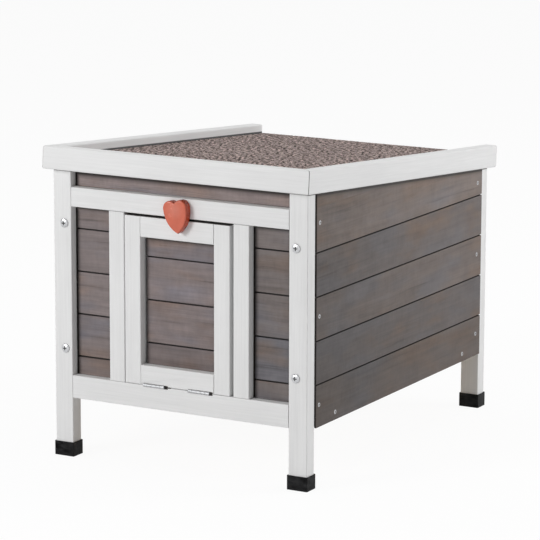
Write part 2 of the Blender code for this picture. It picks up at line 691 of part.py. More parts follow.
def hinge_leaf(name, own, reach, offset, group, centre, tilt, with_pin):
    """A leaf with its knuckles, turned about the hinge line.

    offset is the distance from the hinge line to the leaf's near face. The fixed leaf also holds the pin.
    """
    frame = bpy.data.objects.new(name + "_frame", None)
    frame.parent = group
    frame.location = Vector(centre) - ORIGINS[group]
    frame.rotation_euler = tilt
    CUTTERS.objects.link(frame)
    ORIGINS[frame] = Vector()
    half = HINGE_LENGTH / 2
    root, edge = 1.4 * BORE_RADIUS, KNUCKLE_RADIUS + 2 * FIT_GAP
    low, high = (-half, root, offset), (half, reach, offset + LEAF_THICKNESS)
    leaf = box(name, low, high, ZINC_STEEL, frame)
    along = (0.0, math.radians(90), 0.0)
    for i in range(KNUCKLE_COUNT):
        x0, x1 = knuckle_span(i)
        if i in own:
            knuckle = cylinder(
                f"{name}_knuckle_{i}", KNUCKLE_RADIUS, x1 - x0, None, frame,
                ((x0 + x1) / 2, 0.0, 0.0), along, KNUCKLE_SIDES,
            )
            boolean(leaf, knuckle, "UNION")
        else:
            play = 1.5 * FIT_GAP
            notch = box(
                f"{name}_notch_{i}", (x0 - play, 0.0, -edge), (x1 + play, edge, edge), None, frame
            )
            boolean(leaf, notch, "DIFFERENCE")
    if with_pin:
        pin = cylinder(
            name + "_pin", PIN_RADIUS, HINGE_LENGTH - 8 * FIT_GAP, None, frame,
            (0.0, 0.0, 0.0), along, ROUND_SIDES,
        )
        boolean(leaf, pin, "UNION")
    else:
        bore = cylinder(
            name + "_bore", BORE_RADIUS, 2 * HINGE_LENGTH, None, frame,
            (0.0, 0.0, 0.0), along, ROUND_SIDES,
        )
        boolean(leaf, bore, "DIFFERENCE")
    return leaf


def make_hinges():
    """Two hinges folded shut under the door, and two opened flat behind the lid."""
    fixed = range(0, KNUCKLE_COUNT, 2)
    moving = range(1, KNUCKLE_COUNT, 2)
    surface = KNUCKLE_RADIUS - LEAF_THICKNESS
    half_turn, quarter = math.radians(180), math.radians(90)
    for side_name, side in SIDES:
        at_door = (door_hinge_x(side_name), DOOR_AXIS.y, DOOR_AXIS.z)
        name = f"door_hinge_{side_name}"
        hinge_leaf(
            name + "_fixed_leaf", fixed, DOOR_HINGE_REACH, LEAF_OFFSET, CABIN, at_door,
            (0.0, half_turn, 0.0), True,
        )
        hinge_leaf(
            name + "_moving_leaf", moving, DOOR_HINGE_REACH, LEAF_OFFSET, DOOR, at_door, FLAT, False
        )
        x = side * (HALF_WIDTH - LID_HINGE_INSET)
        name = f"lid_hinge_{side_name}"
        hinge_leaf(
            name + "_fixed_leaf", fixed, LID_HINGE_REACH, surface, CABIN, (x, LID_AXIS.y, LID_AXIS.z),
            (-quarter, 0.0, half_turn), True,
        )
        hinge_leaf(
            name + "_moving_leaf", moving, LID_HINGE_REACH, surface, LID, (x, 0.0, 0.0),
            (quarter, 0.0, 0.0), False,
        )


def heart_outline():
    """Two round lobes and two curved flanks that meet in the tip, with the origin on the pivot."""
    radius = HEART_LOBE_RADIUS
    lobe_x = HEART_WIDTH / 2 - radius
    lobe_z = HEART_PIVOT_BELOW_LOBES
    tip_z = lobe_z + radius - HEART_HEIGHT
    notch_angle = math.acos(lobe_x / radius)
    arc_steps, flank_steps = 11, 8
    right = []
    for i in range(arc_steps + 1):
        angle = (math.pi - notch_angle) * (1 - i / arc_steps)
        right.append((lobe_x + radius * math.cos(angle), lobe_z + radius * math.sin(angle)))
    ends = (HEART_WIDTH / 2, lobe_z), (0.0, tip_z)
    first = (HEART_WIDTH / 2, lobe_z - 0.36 * HEART_HEIGHT)
    second = (0.325 * HEART_WIDTH, tip_z + 0.162 * HEART_HEIGHT)
    for i in range(1, flank_steps + 1):
        t = i / flank_steps
        weights = ((1 - t) ** 3, 3 * t * (1 - t) ** 2, 3 * t * t * (1 - t), t**3)
        curve = (ends[0], first, second, ends[1])
        right.append(tuple(sum(w * point[k] for w, point in zip(weights, curve)) for k in (0, 1)))
    left = [(-x, z) for x, z in reversed(right[1:-1])]
    return right + left


def make_heart_button():
    """The button that holds the door, and the screw it turns with, driven from inside the cabin."""
    middle_y = HEART_BACK_Y - HEART_THICKNESS / 2
    button = prism(
        "heart_button", heart_outline(), HEART_THICKNESS, CORAL_PAINT, BUTTON,
        (0.0, middle_y, 0.0), UPRIGHT_ALONG_Y,
    )
    bm = bmesh.new()
    bm.from_mesh(button.data)
    front = HEART_THICKNESS / 2
    edges = [e for e in bm.edges if all(abs(v.co.z - front) < 1e-6 for v in e.verts)]
    rim = [e for e in edges if e.calc_face_angle() > 1.0]
    bmesh.ops.bevel(
        bm, geom=rim, offset=HEART_ROUNDING, segments=3, profile=0.5, affect="EDGES", clamp_overlap=True
    )
    bm.to_mesh(button.data)
    bm.free()
    button.data.set_sharp_from_angle(angle=math.radians(35))
    depth = PIVOT_SCREW_BITE + SCREW_CLEARANCE
    socket = cylinder(
        "pivot_socket", HOLE_RADIUS, 2 * depth, None, BUTTON, (0.0, HEART_BACK_Y, 0.0), TOP_TO_FRONT
    )
    boolean(button, socket, "DIFFERENCE")
    head_y = FRAME_DEPTH + FIT_GAP
    length = head_y - HEART_BACK_Y + PIVOT_SCREW_BITE
    screw = turned(
        "heart_pivot_screw", screw_profile(length), ZINC_STEEL, BUTTON, (0.0, head_y, 0.0), TOP_TO_REAR
    )
    cross_slot(screw, "heart_pivot_screw", BUTTON, (0.0, head_y, 0.0), TOP_TO_REAR)


def make_lid():
    """A rim on three sides, mitred in front, a deck grooved into it, a rear rail, and the felt."""
    middle_z = LID_BOTTOM + RIM_HEIGHT / 2
    groove = box(
        "deck_groove",
        (-RIM_INNER_X - DECK_BITE, LID_FRONT + RIM_WIDTH - DECK_BITE, DECK_BOTTOM - FIT_GAP),
        (RIM_INNER_X + DECK_BITE, LID_REAR + TRIM_REACH, DECK_TOP + FIT_GAP),
        None, LID,
    )
    front = [
        (-RIM_OUTER_X, LID_FRONT),
        (RIM_OUTER_X, LID_FRONT),
        (RIM_INNER_X, LID_FRONT + RIM_WIDTH),
        (-RIM_INNER_X, LID_FRONT + RIM_WIDTH),
    ]
    rim = prism(
        "lid_front_rim", front, RIM_HEIGHT, WHITE_PAINT, LID, (0.0, 0.0, middle_z), FLAT,
        run=0, rounding=RIM_ROUNDING,
    )
    boolean(rim, groove, "DIFFERENCE")
    mitre = LID_FRONT + math.sqrt(2) * FIT_GAP
    for side_name, side in SIDES:
        outline = [
            (side * RIM_OUTER_X, mitre),
            (side * RIM_OUTER_X, LID_REAR),
            (side * RIM_INNER_X, LID_REAR),
            (side * RIM_INNER_X, mitre + RIM_WIDTH),
        ]
        rim = prism(
            f"lid_{side_name}_rim", outline, RIM_HEIGHT, WHITE_PAINT, LID, (0.0, 0.0, middle_z), FLAT,
            run=1, rounding=RIM_ROUNDING,
        )
        boolean(rim, groove, "DIFFERENCE")
    x = RIM_INNER_X + DECK_BITE - FIT_GAP
    box(
        "lid_deck", (-x, LID_FRONT + RIM_WIDTH - DECK_BITE + FIT_GAP, DECK_BOTTOM),
        (x, LID_REAR - FIT_GAP, DECK_TOP), PLYWOOD, LID,
    )
    x = RIM_INNER_X - FIT_GAP
    rail_rear = -KNUCKLE_STANDOFF
    box(
        "lid_rear_rail", (-x, rail_rear - REAR_RAIL_WIDTH, LID_BOTTOM),
        (x, rail_rear, DECK_BOTTOM - FIT_GAP), WHITE_PAINT, LID,
    )
    x = RIM_INNER_X - FELT_SIDE_GAP
    box(
        "lid_felt", (-x, LID_FRONT + RIM_WIDTH + FELT_SIDE_GAP, DECK_TOP + FIT_GAP),
        (x, LID_REAR, FELT_TOP), ROOF_FELT, LID,
    )


FRAME_SCREW_HOLES = make_frame_screw_holes()
make_posts_and_caps()
make_front_frame()
make_rear_frame()
for side_label, side_sign in SIDES:
    make_side(side_label, side_sign)
make_floor()
make_frame_screws()
make_door()
make_hinges()
make_heart_button()
make_lid()
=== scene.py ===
"""Looks of the outdoor cat house: finishes, small fastenings, roof felt, light and camera.

Metres, +Z up, and the door faces -Y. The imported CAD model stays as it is, and all of this rides on it.
"""

import json
import math

import bmesh
import bpy
from mathutils import Matrix, Vector, noise


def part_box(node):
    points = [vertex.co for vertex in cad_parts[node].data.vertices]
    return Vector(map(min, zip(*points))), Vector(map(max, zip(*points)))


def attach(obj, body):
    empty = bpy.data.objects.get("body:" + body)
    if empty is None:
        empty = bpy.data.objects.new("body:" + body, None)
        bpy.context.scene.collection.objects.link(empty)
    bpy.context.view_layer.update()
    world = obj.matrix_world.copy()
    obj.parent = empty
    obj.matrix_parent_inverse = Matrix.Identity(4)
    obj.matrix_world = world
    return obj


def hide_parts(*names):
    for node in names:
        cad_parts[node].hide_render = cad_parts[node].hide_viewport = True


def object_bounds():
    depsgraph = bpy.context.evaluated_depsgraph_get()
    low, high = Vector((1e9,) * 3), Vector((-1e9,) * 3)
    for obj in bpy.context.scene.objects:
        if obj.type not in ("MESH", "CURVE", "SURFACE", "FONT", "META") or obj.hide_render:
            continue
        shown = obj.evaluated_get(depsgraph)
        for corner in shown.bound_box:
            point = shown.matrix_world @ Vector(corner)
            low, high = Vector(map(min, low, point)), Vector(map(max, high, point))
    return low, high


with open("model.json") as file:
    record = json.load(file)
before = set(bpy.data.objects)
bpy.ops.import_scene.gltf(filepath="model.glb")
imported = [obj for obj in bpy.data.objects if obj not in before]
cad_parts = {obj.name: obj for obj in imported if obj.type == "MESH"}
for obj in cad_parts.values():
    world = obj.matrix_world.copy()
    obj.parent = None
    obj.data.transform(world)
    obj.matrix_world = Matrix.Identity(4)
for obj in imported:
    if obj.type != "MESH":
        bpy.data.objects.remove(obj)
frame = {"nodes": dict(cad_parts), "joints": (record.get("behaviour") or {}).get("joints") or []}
cad_low, cad_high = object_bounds()
NODES = frame["nodes"]
JOINTS = {joint["name"]: joint for joint in frame["joints"]}
ENDS, SIDES = ("front", "rear"), ("left", "right")
ALONG_X, ALONG_Y, ALONG_Z = 0, 1, 2

# The lid's slope, and the turn that lays the lid level
ROOF_FALL, ROOF_RUN = 0.0460, 0.5515
SLOPE = math.atan2(ROOF_FALL, ROOF_RUN)
LEVEL_LID = Matrix.Rotation(SLOPE, 3, "X")


def level_corners(name):
    """A node's corners, turned with the lid as it is laid level."""
    return [LEVEL_LID @ vertex.co for vertex in NODES[name].data.vertices]


# Places that the part's solids give
SIDE_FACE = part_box("right_side_board_1")[1].x
FRONT_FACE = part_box("front_bottom_rail")[0].y
BAY_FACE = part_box("front_bay_boards_left")[0].y
DOOR_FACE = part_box("door_boards")[0].y
REAR_BOARD_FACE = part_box("rear_boards")[1].y
FELT_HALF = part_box("lid_felt")[1].x
FELT_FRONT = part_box("lid_felt")[0].y
BOARD_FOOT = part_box("right_side_board_1")[0].z
BOARD_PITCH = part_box("right_side_board_2")[0].z - BOARD_FOOT
DOOR_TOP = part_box("door_top_rail")[1].z
UNDER_RIM = min(corner.z for corner in level_corners("lid_right_rim"))
FELT_TOP = max(corner.z for corner in level_corners("lid_felt"))
DOOR_SEAM = 0.1751  # top of the lowest seam between the door's boards
HAIR = 0.0005  # a small margin round the places above


# Node trees

class Tree:
    """The node tree of a material or a world. Inputs are plain values or other nodes' outputs."""

    def __init__(self, owner):
        owner.use_nodes = True
        self.tree = owner.node_tree
        self.tree.nodes.clear()

    def node(self, kind, inputs=None, **settings):
        made = self.tree.nodes.new(kind)
        for key, value in settings.items():
            setattr(made, key, value)
        for key, value in (inputs or {}).items():
            if isinstance(value, bpy.types.NodeSocket):
                self.tree.links.new(value, made.inputs[key])
            else:
                made.inputs[key].default_value = value
        return made

    def math(self, operation, a, b=0.0, c=0.0, clamp=False):
        made = self.node("ShaderNodeMath", {0: a, 1: b, 2: c}, operation=operation, use_clamp=clamp)
        return made.outputs[0]

    def vector(self, operation, a, b):
        return self.node("ShaderNodeVectorMath", {0: a, 1: b}, operation=operation).outputs[0]

    def part(self, vector, axis):
        return self.node("ShaderNodeSeparateXYZ", {0: vector}).outputs[axis]

    def size_along(self, vector, axis):
        return self.math("ABSOLUTE", self.part(vector, axis))

    def grey(self, value):
        return self.node("ShaderNodeCombineXYZ", {0: value, 1: value, 2: value}).outputs[0]

    def mix(self, factor, a, b, blend="MIX"):
        inputs = {0: factor, 6: a, 7: b}
        return self.node("ShaderNodeMix", inputs, data_type="RGBA", blend_type=blend).outputs[2]

    def between(self, value, low, high):
        """0 at low and before it, 1 at high and beyond it. High may be the smaller of the two."""
        return self.math("DIVIDE", self.math("SUBTRACT", value, low), high - low, clamp=True)

    def within(self, value, low, high):
        """1 from low to high, 0 outside."""
        return self.math("COMPARE", value, (low + high) / 2, (high - low) / 2)

    def ramp(self, factor, stops, interpolation="LINEAR"):
        made = self.node("ShaderNodeValToRGB", {0: factor})
        made.color_ramp.interpolation = interpolation
        elements = made.color_ramp.elements
        while len(elements) < len(stops):
            elements.new(0.5)
        for element, (position, colour) in zip(elements, stops):
            element.position = position
            element.color = colour
        return made.outputs[0]

    def one_of(self, index, values):
        """The value with this number in the list."""
        share = self.math("DIVIDE", self.math("ADD", index, 0.5), len(values))
        stops = [(i / len(values), (value, value, value, 1.0)) for i, value in enumerate(values)]
        return self.ramp(share, stops, "CONSTANT")

    def noise(self, vector, scale, detail=3.0, roughness=0.5):
        inputs = {"Vector": vector, "Scale": scale, "Detail": detail, "Roughness": roughness}
        return self.node("ShaderNodeTexNoise", inputs).outputs["Fac"]

    def cells(self, vector, scale):
        return self.node("ShaderNodeTexVoronoi", {"Vector": vector, "Scale": scale}).outputs

    def bump(self, height, strength, distance):
        inputs = {"Height": height, "Strength": strength, "Distance": distance}
        return self.node("ShaderNodeBump", inputs).outputs[0]

    def surface(self, inputs):
        shader = self.node("ShaderNodeBsdfPrincipled", inputs)
        self.node("ShaderNodeOutputMaterial", {"Surface": shader.outputs[0]})


def srgb(red, green, blue):
    """A colour given from 0 to 255 as Blender's linear one."""
    shares = [value / 255 for value in (red, green, blue)]
    return (*(v / 12.92 if v <= 0.04045 else ((v + 0.055) / 1.055) ** 2.4 for v in shares), 1.0)


def levelled(tree, vector, tilt):
    """The vector turned about X by tilt: with the roof's slope, the lid's deck is level."""
    if not tilt:
        return vector
    inputs = {"Vector": vector, "Rotation": (tilt, 0.0, 0.0)}
    return tree.node("ShaderNodeMapping", inputs).outputs[0]


def place(tree, tilt=0.0):
    """The point on the part."""
    return levelled(tree, tree.node("ShaderNodeTexCoord").outputs["Object"], tilt)


def face_normal(tree, tilt=0.0):
    """The way that the face looks, in the part's own axes."""
    normal = tree.node("ShaderNodeNewGeometry").outputs["True Normal"]
    spaces = {"convert_from": "WORLD", "convert_to": "OBJECT"}
    local = tree.node("ShaderNodeVectorTransform", {0: normal}, vector_type="NORMAL", **spaces)
    return levelled(tree, local.outputs[0], tilt)


def along(tree, point, axis, ratio):
    """The point squeezed along the grain, so that a noise read there is drawn out along it."""
    scale = [1.0, 1.0, 1.0]
    scale[axis] = ratio
    return tree.vector("MULTIPLY", point, tuple(scale))


def edge_wear(tree, radius):
    """1 on outer edges, 0 on flat faces."""
    soft = tree.node("ShaderNodeBevel", {"Radius": radius}, samples=4).outputs[0]
    true = tree.node("ShaderNodeNewGeometry").outputs["Normal"]
    dot = tree.node("ShaderNodeVectorMath", {0: soft, 1: true}, operation="DOT_PRODUCT").outputs["Value"]
    contrast = 6.0
    return tree.math("MULTIPLY", tree.math("SUBTRACT", 1.0, dot), contrast, clamp=True)


def varied(tree, colour, parts):
    """The colour made lighter and darker by several noises, each with its own weight."""
    total = 1.0
    for value, weight in parts:
        total = tree.math("ADD", total, tree.math("MULTIPLY", tree.math("SUBTRACT", value, 0.5), weight))
    return tree.mix(1.0, colour, tree.grey(total), "MULTIPLY")


MATERIALS = {}


def material(name, build, *arguments):
    """The material with this name, built the first time that it is asked for."""
    if name not in MATERIALS:
        made = bpy.data.materials.new(name)
        build(Tree(made), *arguments)
        MATERIALS[name] = made
    return MATERIALS[name]


# White paint

# Paint lost where rubbed, and how strong the painted shade is in gaps, under the lid, in mitres, above
# the felt
RUBBED_SHARE, GAP_SHADE_SHARE, POST_SHADE_SHARE = 0.35, 0.94, 0.90
MITRE_SHADE_SHARE, FELT_GAP_SHADE_SHARE = 0.8, 0.9
# Sizes and depths of the places where that is so
SKIN = 0.0004
GAP_SHADE_FROM, GAP_SHADE_TO = 0.0002, 0.0125  # depths behind the boards' face between which the frame's edges get painted shade
RECESS_HALF_HEIGHT, RECESS_MARGIN = 0.0045, 6 * HAIR
POST_TOP_MARGIN = 4 * HAIR
# How far down the posts' sides and fronts the painted shade under the lid reaches
POST_SHADE_SIDES, POST_SHADE_ENDS = 0.0024, 0.0020
MITRE_DARK, MITRE_GONE, MITRE_LENGTH = 0.0004, 0.0009, 0.021
FELT_GAP_SHADE_BELOW, FELT_GAP_SHADE_ABOVE = 0.0030, 0.0013
FELT_GAP_SHADE_BESIDE, FELT_GAP_SHADE_IN_FRONT = 0.0017, 0.0010


def white_paint(tree, axis, timber):
    """Thin white paint on planed softwood: the grain shows through faintly, and edges are rubbed."""
    point = place(tree, SLOPE if timber == "lid" else 0.0)
    broad = tree.noise(along(tree, point, axis, 0.10), scale=55.0, detail=3.0, roughness=0.6)
    lines = tree.noise(along(tree, point, axis, 0.025), scale=380.0, detail=3.0, roughness=0.65)
    pores = tree.noise(along(tree, point, axis, 0.02), scale=1000.0, detail=2.0, roughness=0.7)
    patches = tree.noise(point, scale=12.0, detail=3.0, roughness=0.5)
    parts = ((broad, 0.10), (lines, 0.16), (pores, 0.08), (patches, 0.08))
    paint = varied(tree, srgb(225, 225, 225), parts)
    rubbed = tree.math("MULTIPLY", edge_wear(tree, 0.0010), tree.between(broad, 0.42, 0.72))
    paint = tree.mix(tree.math("MULTIPLY", rubbed, RUBBED_SHARE), paint, srgb(205, 193, 170))
    if timber == "lid":
        # Painted shade in the lid's mitre joints
        paint = tree.mix(mitre_shade_line(tree, point), paint, srgb(66, 64, 61))
        # Painted shade on the rims just above the felt
        paint = tree.mix(felt_gap_shade_line(tree, point), paint, srgb(30, 27, 26))
    else:
        # Painted shade in the frame's gaps beside and behind the boards, in the hinges' recesses and
        # above the door
        shade_in_gaps = tree.math("MULTIPLY", gap_and_recess_shade(tree, point, timber, axis), GAP_SHADE_SHARE)
        if timber in ENDS and axis == ALONG_Z:
            # Painted shade on the posts just under the lid
            shade_in_gaps = tree.math("MAXIMUM", shade_in_gaps, post_shade_under_lid(tree))
        paint = tree.mix(shade_in_gaps, paint, srgb(44, 34, 29))
    relief = tree.math("ADD", tree.math("MULTIPLY", lines, 0.7), tree.math("MULTIPLY", pores, 0.3))
    tree.surface({
        "Base Color": paint,
        "Roughness": tree.math("MULTIPLY_ADD", lines, 0.2, 0.42),
        "Specular IOR Level": 0.35,
        "Normal": tree.bump(relief, strength=0.20, distance=0.0005),
    })


def region(tree, across, height, columns, rows):
    """1 inside a window seen from the front, 0 outside."""
    return tree.math("MULTIPLY", tree.within(across, *columns), tree.within(height, *rows))


def board_window(timber):
    """The boards' window in a frame, seen from the front: between which x and which z it lies."""
    if timber == "door":
        columns = (0.0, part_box("door_stile_right")[0].x)
        rows = (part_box("door_bottom_rail")[1].z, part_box("door_top_rail")[0].z)
    elif timber == "front":
        columns = (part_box("front_jamb_right")[1].x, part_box("front_post_right")[0].x)
        rows = (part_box("front_bottom_rail")[1].z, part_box("front_post_right")[1].z - POST_TOP_MARGIN)
    else:
        columns = (0.0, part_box("rear_post_right")[0].x)
        rows = (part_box("rear_bottom_rail")[1].z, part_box("rear_upper_rail")[0].z)
    return [(low - HAIR, high + HAIR) for low, high in (columns, rows)]


def hinge_recess(tree, across, height, depth):
    """1 in the recesses of the door's hinges, 0 on the frame's face."""
    low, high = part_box("door_hinge_right_fixed_leaf")
    middle = JOINTS["door_flip"]["pos_m"][2]
    columns = (low.x - RECESS_MARGIN, high.x + RECESS_MARGIN)
    rows = (middle - RECESS_HALF_HEIGHT, middle + RECESS_HALF_HEIGHT)
    sunk = tree.math("LESS_THAN", depth, -FRONT_FACE - SKIN)
    return tree.math("MULTIPLY", region(tree, across, height, columns, rows), sunk)


def gap_and_recess_shade(tree, point, timber, axis):
    """1 where painted shade darkens the white paint: in the gaps beside and behind the boards, in the
    hinges' recesses and on the door's top edge. Left and right are alike, and so are front and rear,
    so x and y are taken without their sign."""
    across = tree.size_along(point, "X")
    height = tree.part(point, "Z")
    depth = tree.size_along(point, "Y")
    behind = tree.within(depth, -BAY_FACE - GAP_SHADE_TO, -BAY_FACE - GAP_SHADE_FROM)
    found = tree.math("MULTIPLY", region(tree, across, height, *board_window(timber)), behind)
    if timber == "door":
        found = tree.math("MAXIMUM", found, tree.math("GREATER_THAN", height, DOOR_TOP - SKIN))
    if axis == ALONG_X and timber != "rear":
        found = tree.math("MAXIMUM", found, hinge_recess(tree, across, height, depth))
    return found


def post_shade_under_lid(tree):
    """Nearly 1 on the posts' outer faces just under the lid: painted shade under the lid's overhang."""
    below = tree.math("SUBTRACT", UNDER_RIM, tree.part(place(tree, SLOPE), "Z"))
    normal = face_normal(tree)
    sideways = tree.math("GREATER_THAN", tree.size_along(normal, "X"), 0.5)
    endways = tree.math("GREATER_THAN", tree.size_along(normal, "Y"), 0.5)
    more = POST_SHADE_SIDES - POST_SHADE_ENDS
    reach = tree.math("MULTIPLY_ADD", sideways, more, POST_SHADE_ENDS)
    near = tree.math("MULTIPLY", tree.math("LESS_THAN", below, reach), POST_SHADE_SHARE)
    return tree.math("MULTIPLY", near, tree.math("MAXIMUM", sideways, endways))


def mitre_shade_line(tree, point):
    """Painted shade on the joint that runs at 45 degrees in from each front corner of the lid's rim."""
    corners = level_corners("lid_front_rim")
    corner_x = max(corner.x for corner in corners)
    corner_y = min(corner.y for corner in corners)
    inward = tree.math("SUBTRACT", corner_x, tree.size_along(point, "X"))
    back = tree.math("SUBTRACT", tree.part(point, "Y"), corner_y)
    apart = tree.math("ABSOLUTE", tree.math("SUBTRACT", inward, back))
    line = tree.between(apart, MITRE_GONE, MITRE_DARK)
    near_front = tree.math("LESS_THAN", back, MITRE_LENGTH)
    return tree.math("MULTIPLY", tree.math("MULTIPLY", line, near_front), MITRE_SHADE_SHARE)


def felt_gap_shade_line(tree, point):
    """Painted shade on the rims' inner flanks just above the felt, in the gap beside its edge."""
    low = tree.within(tree.part(point, "Z"), FELT_TOP - FELT_GAP_SHADE_BELOW, FELT_TOP + FELT_GAP_SHADE_ABOVE)
    inner = tree.math("LESS_THAN", tree.size_along(point, "X"), FELT_HALF + FELT_GAP_SHADE_BESIDE)
    behind_front = tree.math("GREATER_THAN", tree.part(point, "Y"), FELT_FRONT - FELT_GAP_SHADE_IN_FRONT)
    flank = tree.math("MULTIPLY", tree.math("MULTIPLY", low, inner), behind_front)
    return tree.math("MULTIPLY", flank, FELT_GAP_SHADE_SHARE)


# Stain on the boards

# Painted shade: how near the frame or the lid the boards begin to darken, and how near they are darkest
SHADE_BESIDE_FRAME = (0.0105, 0.0026)
BOARD_SHADE_UNDER_LID = (0.0108, 0.0026)
SHADOW_LINE_UNDER_LID = (0.0046, 0.0039)
# Depths behind the boards' face: where a seam's painted shade begins and is dark, its foot, and where
# the frame's painted shade ends
SEAM_BEGINS, SEAM_DARK, SEAM_FOOT = 0.0003, 0.0011, 0.0085
SHADE_DEPTH = 0.003
# Share of the stain's colour lost to painted shade in seams, on sawn ends, by the frame and lid; and in
# dark streaks
SEAM_SHADE_SHARE, END_SHADE_SHARE, FRAME_SHADE_SHARE, STREAK_SHARE = 0.88, 0.88, 0.85, 0.40
# Painted light: how the sides grow lighter from the front to the rear, between which y, and by how much
SIDES_PAINTED_LIGHT, SIDES_PAINTED_LIGHT_WEIGHT = (-0.28, 0.12), 0.48
# What the clouds multiply a tone by
BLUISH = (0.86, 0.96, 1.09, 1.0)
RUSTY = (1.13, 1.00, 0.88, 1.0)
# How far apart two boards' grains are read at most, and how far a board's grain drifts up and down
BOARD_STEP, GRAIN_DRIFT = (1.7, 1.3, 1.9), 0.012


def depth_behind(tree, point, face):
    """How far a point lies behind the boards' outer face."""
    if face == "side":
        return tree.math("SUBTRACT", SIDE_FACE, tree.size_along(point, "X"))
    if face == "rear":
        return tree.math("SUBTRACT", REAR_BOARD_FACE, tree.part(point, "Y"))
    return tree.math("SUBTRACT", tree.part(point, "Y"), DOOR_FACE if face == "door" else BAY_FACE)


def shade_beside_frame(tree, point, opening):
    """1 on the boards beside the frame or under the lid, where painted shade falls, 0 further off."""
    low, high, top = opening
    if low is None:
        near = tree.math("SUBTRACT", top, tree.part(place(tree, SLOPE), "Z"))
        line = tree.between(near, *SHADOW_LINE_UNDER_LID)
        return tree.math("MAXIMUM", line, tree.math("POWER", tree.between(near, *BOARD_SHADE_UNDER_LID), 2.0))
    across = tree.part(point, "X")
    near = tree.math("MINIMUM", tree.math("SUBTRACT", across, low), tree.math("SUBTRACT", high, across))
    near = tree.math("MINIMUM", near, tree.math("SUBTRACT", top, tree.part(point, "Z")))
    return tree.math("POWER", tree.between(near, *SHADE_BESIDE_FRAME), 2.0)


def darkened(tree, point, axis, face, opening):
    """How much of a board's colour is lost to painted shade in its seams, on its sawn ends (also darker
    end grain) and beside the frame.
    """
    depth = depth_behind(tree, point, face)
    in_seam = tree.between(depth, SEAM_BEGINS, SEAM_DARK)
    seam = tree.math("MULTIPLY", in_seam, tree.math("LESS_THAN", depth, SEAM_FOOT))
    ends = tree.between(tree.size_along(face_normal(tree), axis), 0.5, 0.8)
    seam = tree.math("MULTIPLY", seam, SEAM_SHADE_SHARE)
    share = tree.math("MAXIMUM", seam, tree.math("MULTIPLY", ends, END_SHADE_SHARE))
    on_face = tree.math("LESS_THAN", depth, SHADE_DEPTH)
    frame_shade = tree.math("MULTIPLY", shade_beside_frame(tree, point, opening), on_face)
    return tree.math("MAXIMUM", share, tree.math("MULTIPLY", frame_shade, FRAME_SHADE_SHARE))


def board_tone(tree, colour, boards, board, cloud):
    """A board's own tone, with bluish and rusty clouds.

    A ramp holds no negative values, so the blueness goes through it raised by 1.
    """
    lightness = tree.one_of(board, [values[0] for values in boards])
    blueness = tree.math("SUBTRACT", tree.one_of(board, [1.0 + values[1] for values in boards]), 1.0)
    tone = tree.mix(1.0, srgb(*colour), lightness, "MULTIPLY")
    bluish = tree.mix(1.0, tone, BLUISH, "MULTIPLY")
    rusty = tree.mix(1.0, tone, RUSTY, "MULTIPLY")
    blue_share = tree.math("ADD", tree.between(cloud, 0.53, 0.68), blueness, clamp=True)
    return tree.mix(tree.between(cloud, 0.48, 0.35), tree.mix(blue_share, tone, bluish), rusty)


def stain(tree, axis, colour, boards, face, foot, opening, seed):
    """Thin grey-brown stain on boards. The list of boards gives each board's lightness and blueness,
    from the foot up. Each board's grain is read somewhere else, by a random step."""
    point = place(tree)
    above = tree.math("SUBTRACT", tree.part(point, "Z"), foot)
    board = tree.math("FLOOR", tree.math("DIVIDE", above, BOARD_PITCH))
    number = tree.math("ADD", board, seed)
    own = tree.node("ShaderNodeTexWhiteNoise", {"W": number}, noise_dimensions="1D")
    moved = tree.vector("ADD", point, tree.vector("MULTIPLY", own.outputs["Color"], BOARD_STEP))
    drift = tree.math("MULTIPLY", tree.noise(moved, scale=4.0, detail=2.0), GRAIN_DRIFT)
    grain = tree.vector("ADD", moved, tree.node("ShaderNodeCombineXYZ", {"Z": drift}).outputs[0])
    cloud = tree.noise(along(tree, moved, axis, 0.30), scale=20.0, detail=3.0, roughness=0.55)
    blotch = tree.noise(along(tree, moved, axis, 0.55), scale=46.0, detail=4.0, roughness=0.62)
    streak = tree.noise(along(tree, grain, axis, 0.030), scale=150.0, detail=4.0, roughness=0.62)
    fibre = tree.noise(along(tree, grain, axis, 0.020), scale=640.0, detail=3.0, roughness=0.7)
    chatter = tree.noise(along(tree, moved, ALONG_Z, 0.25), scale=210.0, detail=2.0, roughness=0.6)
    parts = [(streak, 0.65), (fibre, 0.55), (blotch, 0.65), (chatter, 0.25), (cloud, 0.40)]
    # Painted light: the sides grow lighter towards the rear
    if face == "side":
        parts.append((tree.between(tree.part(point, "Y"), *SIDES_PAINTED_LIGHT), SIDES_PAINTED_LIGHT_WEIGHT))
    tone = varied(tree, board_tone(tree, colour, boards, board, cloud), parts)
    dark_streak = tree.math("MULTIPLY", tree.between(streak, 0.38, 0.26), STREAK_SHARE)
    tone = tree.mix(dark_streak, tone, srgb(62, 55, 53))
    # Painted shade in the seams, on sawn ends, beside the frame and under the lid
    tone = tree.mix(darkened(tree, point, axis, face, opening), tone, srgb(24, 21, 20))
    relief = tree.math("ADD", tree.math("MULTIPLY", streak, 0.4), tree.math("MULTIPLY", fibre, 0.6))
    tree.surface({
        "Base Color": tone,
        "Roughness": tree.math("MULTIPLY_ADD", fibre, 0.24, 0.46),
        "Specular IOR Level": 0.30,
        "Normal": tree.bump(relief, strength=0.26, distance=0.0005),
    })


# Bare timber, felt, plastic, metal and the button's paint

PINE_RINGS = 75.0
PLY_LAYER = 0.0014
DECK_EDGE_SHADE = (0.004, 0.002)  # how far inside the felt's edge the deck's painted shade begins, and is black
GRANULE_FALL = -300.0  # how steeply a granule falls away from its middle
# A frame screw's flanks face forward by less than the first share, and its flats by more than the
# second. The bottom of its recess lies under the third share of the height that its head stands out.
SCREW_FLANK, SCREW_FLAT, SCREW_RECESS = 0.35, 0.999, 0.62
